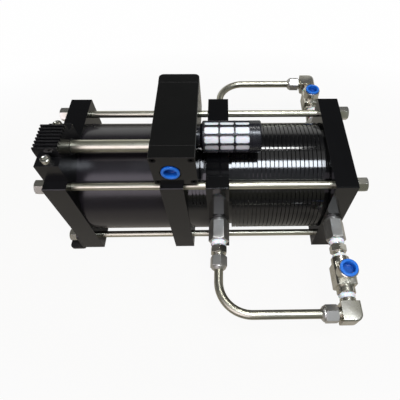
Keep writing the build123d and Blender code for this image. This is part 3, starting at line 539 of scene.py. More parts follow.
def skin(shape: Shape, rings: Sequence[Sequence[Vector]], closing: Closing) -> None:
    """Lay faces over rings of equally many points.

    Args:
        shape: The mesh that gets the faces.
        rings: The rings in order.
        closing: How the skin ends.
    """
    made = [[shape.verts.new(point) for point in ring] for ring in rings]
    pairs = list(zip(made, made[1:]))
    if closing is Closing.LOOP:
        pairs.append((made[-1], made[0]))
    for one, two in pairs:
        for i, corner in enumerate(one):
            after = (i + 1) % len(one)
            shape.faces.new((corner, one[after], two[after], two[i]))
    if closing is Closing.CAPS:
        shape.faces.new(made[0])
        shape.faces.new(made[-1])


@dataclass(frozen=True)
class Spindle:
    """An axis that pieces are turned on. Its origin is in metres and angle zero points along up."""

    origin: Vector
    along: Vector
    up: Vector = UPWARD

    def point(self, at: float, angle: float, radius: float) -> Vector:
        """A point near the axis.

        Args:
            at: Millimetres along the axis.
            angle: Radians from up.
            radius: Millimetres from the axis.

        Returns:
            The point in metres.
        """
        side = self.along.cross(self.up)
        out = self.up * math.cos(angle) + side * math.sin(angle)
        return self.origin + (self.along * at + out * radius) * MM


@dataclass(frozen=True)
class Row:
    """One ring of a turned piece, with its radius at each angle."""

    at: float
    radius: Callable[[float], float]


def circle(at: float, radius: float) -> Row:
    """A round row."""
    return Row(at, lambda angle: radius)


def circles(*places: tuple[float, float]) -> list[Row]:
    """Round rows from (place, radius) pairs."""
    return [circle(at, radius) for at, radius in places]


def quarter_turn() -> list[float]:
    """The angles of the points on a rounded edge."""
    return [math.pi / 2 * i / ROUND_ROWS for i in range(ROUND_ROWS + 1)]


def round_edge(at: float, radius: float, ease: float) -> list[Row]:
    """Rows of a rounded outer edge at the far end of a turned piece.

    Args:
        at: Where the end is.
        radius: The piece's radius.
        ease: Radius of the rounding.

    Returns:
        The rows from the outside to the end face.
    """
    return [circle(at - ease + ease * math.sin(a), radius - ease + ease * math.cos(a))
            for a in quarter_turn()]


def polygon(sides: int, across: float, turn: float, cap: float = math.inf) -> Callable[[float], float]:
    """The radius of a regular polygon that is cut back to a circle.

    Args:
        sides: How many flats it has.
        across: Its width across flats.
        turn: Degrees from up to the middle of a flat.
        cap: The circle's radius.

    Returns:
        The radius at each angle.
    """
    step = 2 * math.pi / sides

    def radius(angle: float) -> float:
        """Distance to the nearest flat or to the circle."""
        off = (angle - math.radians(turn) + step / 2) % step - step / 2
        return min(across / 2 / math.cos(off), cap)

    return radius


def hexagon(start: float, end: float, across: float, turn: float, first: float, last: float) -> list[Row]:
    """Rows of a hexagonal bar whose end corners are cut back to a cone.

    Args:
        start: Where the bar starts.
        end: Where it ends.
        across: Its width across flats.
        turn: Degrees from up to the middle of a flat.
        first: Share of the across-flats that the first end face keeps, and 0 for an uncut end.
        last: The same for the last end face.

    Returns:
        The rows from start to end.
    """
    corner = across / 2 / math.cos(math.pi / 6)
    slope = math.tan(math.pi / 6)
    rows = []
    for place, inward, share in ((start, 1, first), (end, -1, last)):
        face = across / 2 * share if share else corner
        steps = [i / CONE_ROWS for i in range(CONE_ROWS + 1)] if share else [1.0]
        cut = [Row(place + inward * (corner - face) * slope * step,
                   polygon(6, across, turn, face + (corner - face) * step)) for step in steps]
        rows += cut if inward > 0 else cut[::-1]
    return rows


def thread(start: float, end: float, radius: float, depth: float, pitch: float) -> list[Row]:
    """Rows of a screw thread.

    Args:
        start: Where the thread starts.
        end: Where it ends.
        radius: Radius over the crests.
        depth: Depth of the thread.
        pitch: Its pitch.

    Returns:
        The rows from start to end.
    """
    def row(at: float) -> Row:
        """The thread's outline at one place."""
        lead = 2 * math.pi * at / pitch
        return Row(at, lambda angle: radius - depth * (0.5 + 0.5 * math.cos(lead - angle)))

    count = math.ceil(abs(end - start) / pitch * THREAD_ROWS)
    return [row(start + (end - start) * i / count) for i in range(count + 1)]


def turned(shape: Shape, spindle: Spindle, rows: Sequence[Row], closing: Closing = Closing.LOOP,
           steps: int = 96) -> None:
    """Skin rows on a spindle.

    Args:
        shape: The mesh that gets the faces.
        spindle: The axis.
        rows: The rows in order.
        closing: How the skin ends.
        steps: Points in each ring.
    """
    angles = [2 * math.pi * i / steps for i in range(steps)]
    rings = [[spindle.point(row.at, angle, row.radius(angle)) for angle in angles] for row in rows]
    skin(shape, rings, closing)


@dataclass
class Coil:
    """A helical compression spring in place of its plain sleeve, with a dead turn at each end."""

    node: str
    joint: str
    wire: float
    turns: int
    travel: float
    axis: Vector
    steps: int = 24
    wire_steps: int = 20

    def ring(self, spindle: Spindle, turn: float, at: float, radius: float) -> list[Vector]:
        """One ring of points round the wire.

        Args:
            spindle: The spring's axis.
            turn: Turns from the start.
            at: The wire's place along the axis.
            radius: Its distance from the axis.

        Returns:
            The points.
        """
        angle = 2 * math.pi * turn
        centre = spindle.point(at, angle, radius)
        out = (centre - spindle.point(at, angle, 0.0)).normalized()
        bends = [2 * math.pi * j / self.wire_steps for j in range(self.wire_steps)]
        return [centre + (out * math.cos(b) + spindle.along * math.sin(b)) * self.wire / 2 * MM
                for b in bends]

    def build(self) -> None:
        """Wind the spring in its node's box."""
        low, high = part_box(self.node)
        middle = (low + high) / 2
        length = abs((high - low).dot(self.axis)) / MM
        radius = ((high.z - low.z) / MM - self.wire) / 2
        seat = middle + self.axis * length / 2 * MM
        spindle = Spindle(seat, -self.axis)
        live = length - 3 * self.wire
        rings = []
        for i in range(self.turns * self.steps + 1):
            turn = i / self.steps
            share = min(max((turn - 1) / (self.turns - 2), 0.0), 1.0)
            dead = min(turn, 1.0) + max(turn - self.turns + 1, 0.0)
            rings.append(self.ring(spindle, turn, self.wire / 2 + dead * self.wire + share * live, radius))
        shape = bmesh.new()
        skin(shape, rings, Closing.CAPS)
        piece = new_piece(f"{self.node}_coil", shape, Finishes.spring_steel,
                          stands_for=(self.node,))
        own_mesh(piece)


@dataclass
class Tape:
    """White thread tape wound on a pipe thread, with a ragged outer turn.

    The section lists a share of the length and how much of the taper the radius has lost there. A ripple
    is its count round the tape, its weight and how far it shifts along the length.
    """

    name: str
    spindle: Spindle
    start: float
    end: float
    inner: float
    outer: float
    taper: float
    steps: int = 96
    ragged: float = 0.25
    section: tuple[tuple[float, float], ...] = ((0.02, 0.2), (0.3, 0.0), (0.62, 0.4), (0.94, 1.0))
    ripples: tuple[tuple[int, float, float], ...] = ((3, 1.0, 9.0), (7, 0.6, 4.0), (13, 0.4, 0.0))
    edge_ripple: tuple[int, float] = (5, 11.0)

    def ring(self, share: float, radius: float) -> list[Vector]:
        """One ring of the band's section.

        Args:
            share: Its share of the length.
            radius: Its radius.

        Returns:
            The points.
        """
        count, shift = self.edge_ripple
        ring = []
        for i in range(self.steps):
            turn = 2 * math.pi * i / self.steps
            wave = sum(weight * math.sin(times * turn + slide * share)
                       for times, weight, slide in self.ripples)
            out = radius + (self.ragged * wave if radius > self.inner else 0.0)
            along = self.start + (self.end - self.start) * share
            along += self.ragged * math.sin(count * turn + shift * share)
            ring.append(self.spindle.point(along, turn, out))
        return ring

    def build(self) -> None:
        """Make the tape on the housing."""
        places = [(0.0, self.inner)]
        places += [(share, self.outer - self.taper * lost) for share, lost in self.section]
        places += [(1.0, self.inner)]
        shape = bmesh.new()
        skin(shape, [self.ring(share, radius) for share, radius in places], Closing.LOOP)
        new_piece(self.name, shape, Finishes.thread_tape)


@dataclass
class Plug:
    """A thin-walled blue protective cap, open to the outside."""

    node: str
    body: str
    outward: Vector
    up: Vector = UPWARD
    flange_radius: float = 12.5
    flange_length: float = 3.5
    skirt_radius: float = 10.2
    skirt_length: float = 7.0
    mouth_radius: float = 8.7
    mouth_break: float = 0.5
    mouth_depth: float = 0.4
    floor_radius: float = 7.9
    floor_thickness: float = 1.5
    edge_break: float = 0.9

    def build(self) -> None:
        """Make the cap where its node is."""
        low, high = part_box(self.node)
        middle = (low + high) / 2
        depth = abs((high - low).dot(self.outward)) / 2
        flange = middle + self.outward * (depth - self.flange_length * MM)
        top, low_end, ease = self.flange_length, -self.skirt_length, self.edge_break
        floor = low_end + self.floor_thickness
        rows = circles((low_end, self.skirt_radius - ease), (low_end + ease, self.skirt_radius),
                       (0.0, self.skirt_radius), (0.0, self.flange_radius - SMALL_BREAK),
                       (SMALL_BREAK, self.flange_radius))
        rows += round_edge(top, self.flange_radius, ease)
        rows += circles((top, self.mouth_radius + self.mouth_break),
                        (top - self.mouth_depth, self.mouth_radius),
                        (floor + self.mouth_break, self.floor_radius),
                        (floor, self.floor_radius - self.mouth_break))
        shape = bmesh.new()
        turned(shape, Spindle(flange, self.outward, self.up), rows, Closing.CAPS)
        new_piece(f"{self.node}_cap", shape, Finishes.plug_blue, self.body, (self.node,))


@dataclass(frozen=True)
class Lamp:
    """A rectangular soft light that points at the machine. A brightness of 1 makes its face white."""

    name: str
    place: Vector
    wide: float
    deep: float
    brightness: float
    colour: tuple[float, float, float] = (1.0, 1.0, 1.0)
    aim_height: float = 0.12

    def build(self) -> None:
        """Hang the lamp."""
        light = bpy.data.lights.new(self.name, "AREA")
        light.shape = "RECTANGLE"
        light.size = self.wide
        light.size_y = self.deep
        light.energy = self.brightness * math.pi * self.wide * self.deep
        light.color = self.colour
        box = bpy.data.objects.new(self.name, light)
        box.location = self.place
        aim = Vector((self.place.x, 0.0, self.aim_height)) - self.place
        box.rotation_euler = aim.to_track_quat("-Z", "Y").to_euler()
        bpy.context.scene.collection.objects.link(box)


@dataclass
class Studio:
    """Floor, lamps, world and the camera of the photograph.

    The sky is what polished metal sees, by degrees from the horizon behind the machine over the top to
    the horizon in front.
    """

    camera_at: Vector = Vector((0.0346, -0.3618, 0.5754))
    pitch: float = 57.2
    yaw: float = 1.76
    roll: float = 0.97
    lens_mm: float = 31.79
    sensor_mm: float = 36.0
    shift_x: float = -0.0835
    shift_y: float = 0.0025
    nearest: float = 0.01
    farthest: float = 50.0
    lamps: tuple[Lamp, ...] = (
        Lamp("overhead_box", Vector((0.3, -0.42, 1.75)), 0.66, 0.4, 24.0, (0.86, 0.92, 1.0)),
        Lamp("back_strip", Vector((0.26, 0.62, 1.75)), 0.46, 0.1, 30.0),
        Lamp("overhead_panel", Vector((0.75, -0.15, 2.0)), 1.3, 1.2, 0.4),
        Lamp("front_wall", Vector((-0.95, -1.4, 1.1)), 1.8, 1.4, 2.1, (0.97, 0.87, 1.0)))
    sky_strength: float = 1.3
    sky: tuple[tuple[float, tuple[float, float, float]], ...] = (
        (0.0, (0.78, 0.78, 0.76)), (24.0, (0.72, 0.72, 0.7)), (33.0, (0.05, 0.05, 0.05)),
        (52.0, (0.05, 0.05, 0.05)), (66.0, (0.12, 0.12, 0.11)), (98.0, (0.15, 0.15, 0.14)),
        (120.0, (0.26, 0.27, 0.3)), (152.0, (0.24, 0.26, 0.24)), (168.0, (0.16, 0.16, 0.12)),
        (180.0, (0.08, 0.08, 0.06)))
    floor_side: float = 14.0
    # The floor's colour near the machine and far from it: a painted pool of light round the machine.
    floor_pool_lit: tuple[float, float, float, float] = (0.42, 0.38, 0.31, 1.0)
    floor_pool_dark: tuple[float, float, float, float] = (0.07, 0.07, 0.055, 1.0)
    floor_near_reach: float = 0.3
    floor_far_reach: float = 0.5
    floor_squeeze: tuple[float, float, float] = (0.6, 1.0, 1.0)
    near_share: float = 0.93
    far_share: float = 0.995
    glossy_share: float = 0.08

    def camera(self) -> None:
        """Set the camera from its place and its three angles."""
        pitch, yaw, roll = (math.radians(a) for a in (self.pitch, self.yaw, self.roll))
        forward = Vector((math.sin(yaw) * math.cos(pitch), math.cos(yaw) * math.cos(pitch), -math.sin(pitch)))
        level = Vector((math.cos(yaw), -math.sin(yaw), 0.0))
        above = level.cross(forward)
        right = math.cos(roll) * level + math.sin(roll) * above
        up = -math.sin(roll) * level + math.cos(roll) * above
        lens = bpy.data.cameras.new("camera")
        lens.lens = self.lens_mm
        lens.sensor_width = self.sensor_mm
        lens.shift_x = self.shift_x
        lens.shift_y = self.shift_y
        lens.clip_start = self.nearest
        lens.clip_end = self.farthest
        eye = bpy.data.objects.new("camera", lens)
        turn = Matrix((right, up, -forward)).transposed().to_4x4()
        eye.matrix_world = Matrix.Translation(self.camera_at) @ turn
        bpy.context.scene.collection.objects.link(eye)
        bpy.context.scene.camera = eye

    def world(self) -> None:
        """White for the camera, and for what reflects it a white horizon behind under a dim studio."""
        world = bpy.data.worlds.new("studio")
        world.use_nodes = True
        graph = Graph(world.node_tree)
        graph.tree.nodes.clear()
        part = graph.add("ShaderNodeSeparateXYZ")
        graph.join(graph.add("ShaderNodeTexCoord").outputs["Generated"], part.inputs[0])
        angle = graph.maths("ARCTAN2", graph.maths("ABSOLUTE", part.outputs["Z"]), part.outputs["Y"])
        ramp = graph.add("ShaderNodeValToRGB")
        stops = ramp.color_ramp.elements
        while len(stops) > 1:
            stops.remove(stops[-1])
        for i, (degrees, colour) in enumerate(self.sky):
            stop = stops[0] if i == 0 else stops.new(degrees / 180.0)
            stop.position = degrees / 180.0
            stop.color = (*colour, 1.0)
        graph.join(graph.maths("DIVIDE", angle, math.pi), ramp.inputs[0])
        shine = graph.add("ShaderNodeBackground", Strength=self.sky_strength)
        graph.join(ramp.outputs[0], shine.inputs["Color"])
        white = graph.add("ShaderNodeBackground", Color=WHITE, Strength=1.0)
        rays = graph.add("ShaderNodeLightPath").outputs
        seen = graph.maths("MAXIMUM", rays["Is Camera Ray"], rays["Is Transmission Ray"])
        graph.end("ShaderNodeOutputWorld", seen, shine, white)
        bpy.context.scene.world = world

    def floor(self) -> None:
        """A pale floor that looks white to the camera and keeps a soft shadow. Its colour darkens away from
        the machine, a painted pool of light that metal reflects.
        """
        shape = bmesh.new()
        bmesh.ops.create_grid(shape, x_segments=1, y_segments=1, size=self.floor_side / 2)
        mesh = bpy.data.meshes.new("floor")
        shape.to_mesh(mesh)
        shape.free()
        floor = bpy.data.objects.new("floor", mesh)
        bpy.context.scene.collection.objects.link(floor)
        paint = bpy.data.materials.new("floor_paint")
        paint.use_nodes = True
        graph = Graph(paint.node_tree)
        graph.tree.nodes.clear()
        place = graph.scaled(graph.add("ShaderNodeTexCoord").outputs["Object"], self.floor_squeeze)
        reach = graph.add("ShaderNodeVectorMath", operation="LENGTH")
        graph.join(place, reach.inputs[0])
        fade = graph.span(reach.outputs["Value"], self.floor_near_reach, self.floor_far_reach)
        matt = graph.add("ShaderNodeBsdfDiffuse")
        # Painted light: the floor's colour fades from pale near the machine to dark farther out.
        graph.join(graph.mix(fade, self.floor_pool_lit, self.floor_pool_dark), matt.inputs["Color"])
        rays = graph.add("ShaderNodeLightPath").outputs
        plain = graph.span(fade, 0.0, 1.0, self.near_share, self.far_share)
        lit = graph.maths("MULTIPLY", rays["Is Glossy Ray"], self.glossy_share)
        seen = graph.maths("MULTIPLY_ADD", rays["Is Camera Ray"], plain, lit)
        graph.end("ShaderNodeOutputMaterial", seen, matt, graph.add("ShaderNodeEmission"))
        mesh.materials.append(paint)

    def build(self) -> None:
        """Set up everything that isn't part of the machine."""
        self.camera()
        for lamp in self.lamps:
            lamp.build()
        self.world()
        self.floor()
        bpy.context.scene.view_settings.view_transform = "Standard"
        log.info("studio set")


@dataclass
class PlateStack:
    """The four plates, their feet, tie rods and nuts."""

    plates: tuple[str, ...] = ("left_end_plate", "drive_port_plate", "inner_gas_plate", "outer_gas_plate")
    feet: tuple[str, ...] = ("left_foot", "right_foot")

    def build(self) -> None:
        """Dress the plates and what clamps them."""
        for name in self.plates:
            dress_node(name, Finishes.black_plate)
        for name in self.feet:
            dress_node(name, Finishes.foot_paint)
        dress_node("tie_rods", Finishes.rod_steel)
        dress_node("tie_rod_nuts", Finishes.nut_steel)


@dataclass
class Cylinders:
    """The three barrels with their gaskets, and the moving pistons inside."""

    spigot: float = 4.0
    fin_pitch: float = 6.3
    fin_width: float = 5.3
    fin_root: float = 81.0
    fin_round: float = 0.25
    fin_round_share: float = 0.3
    fin_plain_end: float = 3.5
    gas_bore: float = 70.0
    distance_bore: float = 68.0
    distance_spigot: float = 83.0
    groove_count: int = 4
    groove_pitch: float = 5.3
    groove_width: float = 2.0
    groove_depth: float = 4.0
    groove_wall: float = 0.02
    groove_from_gas_side: float = 5.7
    groove_end_height: float = 35.0
    steps: int = 192

    def spindle(self, node: str) -> tuple[Spindle, float, float]:
        """The axis of a barrel, from its node.

        Args:
            node: The barrel's node.

        Returns:
            An axis from the barrel's first end, its length and its outer radius.
        """
        low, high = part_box(node)
        middle = (low + high) / 2
        start = Vector((low.x, middle.y, middle.z))
        return Spindle(start, TO_RIGHT), (high.x - low.x) / MM, (high.z - low.z) / 2 / MM

    def gas_barrel(self) -> None:
        """The gas barrel with close, broad fins whose edges are rounded."""
        spindle, length, tip = self.spindle("gas_barrel")
        free = length - 2 * self.spigot
        count = int((free - 2 * self.fin_plain_end - self.fin_width) / self.fin_pitch) + 1
        first = length / 2 - ((count - 1) * self.fin_pitch + self.fin_width) / 2
        rows = circles((0.0, self.gas_bore), (0.0, self.fin_root))
        ease, part = self.fin_round, self.fin_round * self.fin_round_share
        for i in range(count):
            start = first + i * self.fin_pitch
            end = start + self.fin_width
            rows += circles((start, self.fin_root), (start, tip - ease), (start + part, tip - part),
                            (start + ease, tip), (end - ease, tip), (end - part, tip - part),
                            (end, tip - ease), (end, self.fin_root))
        rows += circles((length, self.fin_root), (length, self.gas_bore))
        shape = bmesh.new()
        turned(shape, spindle, rows, steps=self.steps)
        new_piece("gas_barrel_fins", shape, Finishes.gloss_barrel, stands_for=("gas_barrel",))

    def distance_barrel(self) -> None:
        """The distance barrel, smooth below and with grooves milled across its upper side."""
        spindle, length, tip = self.spindle("distance_barrel")
        floor = tip - self.groove_depth
        end_angle = math.acos(self.groove_end_height / tip)

        def groove(angle: float) -> float:
            """The groove's floor above its end height and the full radius below."""
            off = abs((angle + math.pi) % (2 * math.pi) - math.pi)
            return floor if off < end_angle else tip

        rows = circles((0.0, self.distance_bore), (0.0, self.distance_spigot),
                       (self.spigot, self.distance_spigot), (self.spigot, tip))
        last = length - self.spigot
        for i in reversed(range(self.groove_count)):
            middle = last - self.groove_from_gas_side - i * self.groove_pitch
            a, b = middle - self.groove_width / 2, middle + self.groove_width / 2
            rows += [circle(a, tip), Row(a + self.groove_wall, groove), Row(b - self.groove_wall, groove),
                     circle(b, tip)]
        rows += circles((last, tip), (last, self.distance_spigot), (length, self.distance_spigot),
                        (length, self.distance_bore))
        shape = bmesh.new()
        turned(shape, spindle, rows, steps=self.steps)
        new_piece("distance_barrel_grooved", shape, Finishes.gloss_barrel,
                  stands_for=("distance_barrel",))

    def build(self) -> None:
        """Make the gas and distance barrels and dress the rest."""
        self.gas_barrel()
        self.distance_barrel()
        dress_node("drive_barrel", Finishes.satin_barrel)
        dress_node("barrel_gaskets", Finishes.seal_rubber)
        dress_node("rod_glands", Finishes.bush_bronze)
        dress_node("drive_piston", Finishes.piston_aluminium)
        dress_node("gas_piston", Finishes.piston_aluminium)
        dress_node("piston_seals", Finishes.seal_rubber)
        dress_node("piston_rod", Finishes.rod_chrome)
        dress_node("piston_nuts", Finishes.nut_steel)


@dataclass
class PilotWork:
    """The pilot head, its screws, the flow tube and the two pilot valves.

    knurl_stop, rim_start and rim_share are shares of the screw heads' edge_break.
    """

    head_radius: float = 6.4
    head_height: float = 8.0
    head_under_break: float = 0.4
    shank_radius: float = 4.0
    socket_across: float = 6.4
    socket_depth: float = 4.4
    socket_bevel: float = 0.9
    socket_bevel_depth: float = 0.4
    knurl_count: int = 32
    knurl_depth: float = 0.35
    knurl_end: float = 0.15
    knurl_stop: float = 1.3
    rim_start: float = 1.1
    rim_share: float = 0.4
    edge_break: float = 0.7
    spring_wire: float = 1.3
    spring_turns: int = 5
    stem_travel: float = 3.5

    def screws(self) -> None:
        """Knurled socket-head screws in place of the plain ones."""
        low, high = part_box("pilot_head_screws")
        radius = self.head_radius
        shank = (low.z - high.z) / MM + self.head_height

        def knurl(angle: float) -> float:
            """The head's rim with its upright grooves."""
            return radius - self.knurl_depth * (0.5 + 0.5 * math.cos(self.knurl_count * angle)) ** 2

        socket = polygon(6, self.socket_across, 0.0)
        top, ease = self.head_height, self.edge_break
        rows = circles((shank, self.shank_radius - ease), (shank + ease, self.shank_radius),
                       (0.0, self.shank_radius), (0.0, radius - self.head_under_break))
        rows += [Row(SMALL_BREAK, knurl), Row(top - self.knurl_stop * ease, knurl)]
        rows += circles((top - self.rim_start * ease, radius - self.knurl_end),
                        (top - self.rim_share * ease, radius - self.rim_share * ease),
                        (top, radius - ease), (top, self.socket_across / 2 + self.socket_bevel))
        rows += [Row(top - self.socket_bevel_depth, socket), Row(top - self.socket_depth, socket)]
        shape = bmesh.new()
        for y in (low.y + radius * MM, high.y - radius * MM):
            base = Vector(((low.x + high.x) / 2, y, high.z - self.head_height * MM))
            turned(shape, Spindle(base, UPWARD, TO_RIGHT), rows, Closing.CAPS, 192)
        new_piece("pilot_head_knurled_screws", shape, Finishes.bright_screw,
                  stands_for=("pilot_head_screws",))

    def build(self) -> None:
        """Dress the pilot head and the pilot valves, and make their screws and springs."""
        dress_node("pilot_head", Finishes.black_head)
        self.screws()
        dress_node("flow_tube", Finishes.rod_steel)
        dress_node("flow_tube_seals", Finishes.seal_rubber)
        dress_node("pilot_caps", Finishes.nut_steel)
        for end, outward in (("left", TO_LEFT), ("right", TO_RIGHT)):
            dress_node(f"{end}_pilot_stem", Finishes.rod_chrome)
            Coil(f"{end}_pilot_spring", f"{end}_pilot_push", self.spring_wire, self.spring_turns,
                 self.stem_travel, outward).build()


@dataclass
class ValveBlock:
    """The cycling valve with its sleeve, spool, covers and screws."""

    castings: tuple[str, ...] = ("valve_body", "valve_front_cover", "valve_rear_cover")

    def build(self) -> None:
        """Dress the valve block and what it holds."""
        for name in self.castings:
            dress_node(name, Finishes.valve_black)
        dress_node("valve_cover_screws", Finishes.dark_screw)
        dress_node("valve_sleeve", Finishes.sleeve_steel)
        dress_node("valve_spool", Finishes.rod_chrome)
        Plug("air_port_plug", "air_plug", Vector((0.0, -1.0, 0.0))).build()


@dataclass
class Muffler:
    """The exhaust muffler: a cage with three rings of windows, a porous core and a plain cap."""

    shank_length: float = 11.0
    shank_radius: float = 10.0
    passage_radius: float = 6.0
    neck_length: float = 6.0
    neck_radius: float = 15.0
    floor: float = 2.4
    wall: float = 2.0
    cage_length: float = 67.5
    cage_break: float = 1.5
    cage_break_share: float = 0.3
    cap_lip: float = 3.0
    cap_break: float = 2.0
    cap_rim: float = 5.2
    cap_dish: tuple[float, float] = (0.4, 0.4)
    columns: int = 3
    rows: int = 10
    window_width: float = 11.0
    window_corner: float = 2.6
    window_bridge: float = 2.0
    window_end_wall: float = 3.5
    window_ease: float = 0.35
    core_gap: float = 0.3
    core_wall: float = 6.0
    across_steps: int = 10
    along_steps: int = 12
    radius: float = field(init=False)
    spindle: Spindle = field(init=False)
    end: float = field(init=False)

    def __post_init__(self) -> None:
        """Take the axis and the overall sizes from the cage's and the cap's nodes."""
        low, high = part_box("muffler_cage")
        middle = (low + high) / 2
        self.radius = (high.z - low.z) / 2 / MM
        face = low.x + self.shank_length * MM
        self.spindle = Spindle(Vector((face, middle.y, middle.z)), TO_RIGHT)
        self.end = (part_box("muffler_cap")[1].x - face) / MM

    @property
    def cell_length(self) -> float:
        """Length of one window with half a bridge at each end."""
        room = self.cage_length - 2 * self.window_end_wall + self.window_bridge
        return room / self.columns

    def outline(self) -> list[tuple[float, float]]:
        """Points round one window's cell, as arc length and length from its middle."""
        wide, long = math.pi * self.radius / self.rows, self.cell_length / 2
        across = [2 * i / self.across_steps - 1 for i in range(self.across_steps)]
        along = [2 * i / self.along_steps - 1 for i in range(self.along_steps)]
        return ([(wide * s, -long) for s in across] + [(wide, long * s) for s in along]
                + [(-wide * s, long) for s in across] + [(-wide, -long * s) for s in along])

    def window(self, grow: float) -> list[tuple[float, float]]:
        """Points round one window, each the nearest to its point of the cell's outline.

        Args:
            grow: How much wider than the window the outline is.

        Returns:
            The points.
        """
        corner = self.window_corner
        half_wide = self.window_width / 2 - corner
        half_long = (self.cell_length - self.window_bridge) / 2 - corner
        points = []
        for across, along in self.outline():
            core = Vector((max(-half_wide, min(half_wide, across)), max(-half_long, min(half_long, along))))
            way = (Vector((across, along)) - core).normalized()
            points.append(tuple(core + way * (corner + grow)))
        return points

    def ring(self, points: Sequence[tuple[float, float]], cell: int, middle: float,
             radius: float) -> list[Vector]:
        """Wrap flat points round the cage.

        Args:
            points: Arc length and length from the cell's middle.
            cell: The cell's number round the cage, with a bar on top.
            middle: The cell's middle along the axis.
            radius: The radius that they lie on.

        Returns:
            The points in space.
        """
        turn = 2 * math.pi * (cell + 0.5) / self.rows
        return [self.spindle.point(middle + along, turn + across / self.radius, radius)
                for across, along in points]

    def cage(self) -> None:
        """The moulded cage."""
        outer, inner = self.radius, self.radius - self.wall
        neck = self.neck_length
        first = neck + self.window_end_wall - self.window_bridge / 2
        last = first + self.columns * self.cell_length
        end = neck + self.cage_length
        floor = neck + self.floor
        part = self.cage_break_share * self.cage_break
        steps = self.rows * self.across_steps
        shape = bmesh.new()
        turned(shape, self.spindle,
               circles((first, inner), (floor, inner), (floor, self.passage_radius),
                       (-self.shank_length, self.passage_radius),
                       (-self.shank_length, self.shank_radius - EASE),
                       (EASE - self.shank_length, self.shank_radius), (0.0, self.shank_radius),
                       (0.0, self.neck_radius), (neck / 2, self.neck_radius), (neck, outer - self.cage_break),
                       (neck + part, outer - part), (neck + self.cage_break, outer), (first, outer)),
               Closing.OPEN, steps)
        turned(shape, self.spindle, circles((last, outer), (end, outer), (end, inner), (last, inner)),
               Closing.OPEN, steps)
        cell, eased, hole = self.outline(), self.window(self.window_ease), self.window(0.0)
        walls = ((cell, outer), (eased, outer), (hole, outer - self.window_ease), (hole, inner),
                 (cell, inner))
        for column in range(self.columns):
            middle = first + (column + 0.5) * self.cell_length
            for row in range(self.rows):
                rings = [self.ring(points, row, middle, radius) for points, radius in walls]
                skin(shape, rings, Closing.OPEN)
        new_piece("muffler_cage_windows", shape, Finishes.cage_plastic,
                  stands_for=("muffler_cage",))

    def core(self) -> None:
        """The porous white sleeve behind the windows."""
        outer = self.radius - self.wall - self.core_gap
        inner = outer - self.core_wall
        a = self.neck_length + self.floor + self.core_gap
        b = self.neck_length + self.cage_length - self.cap_lip - self.core_gap
        shape = bmesh.new()
        turned(shape, self.spindle, circles((a, inner), (a, outer), (b, outer), (b, inner)))
        new_piece("muffler_core_sleeve", shape, Finishes.core_white,
                  stands_for=("muffler_core",))

    def cap(self) -> None:
        """The plain end cap with its lip and a shallow dish."""
        start = self.neck_length + self.cage_length
        lip = self.radius - self.wall - self.core_gap
        rim = self.radius - self.cap_rim
        depth, slope = self.cap_dish
        rows = circles((start - self.cap_lip, lip - EASE), (start - self.cap_lip + EASE, lip), (start, lip),
                       (start, self.radius - SMALL_BREAK), (start + SMALL_BREAK, self.radius))
        rows += round_edge(self.end, self.radius, self.cap_break)
        rows += circles((self.end, rim), (self.end - depth, rim - slope))
        shape = bmesh.new()
        turned(shape, self.spindle, rows, Closing.CAPS)
        new_piece("muffler_cap_end", shape, Finishes.cage_plastic,
                  stands_for=("muffler_cap",))

    def build(self) -> None:
        """Make the muffler's three pieces."""
        self.cage()
        self.core()
        self.cap()


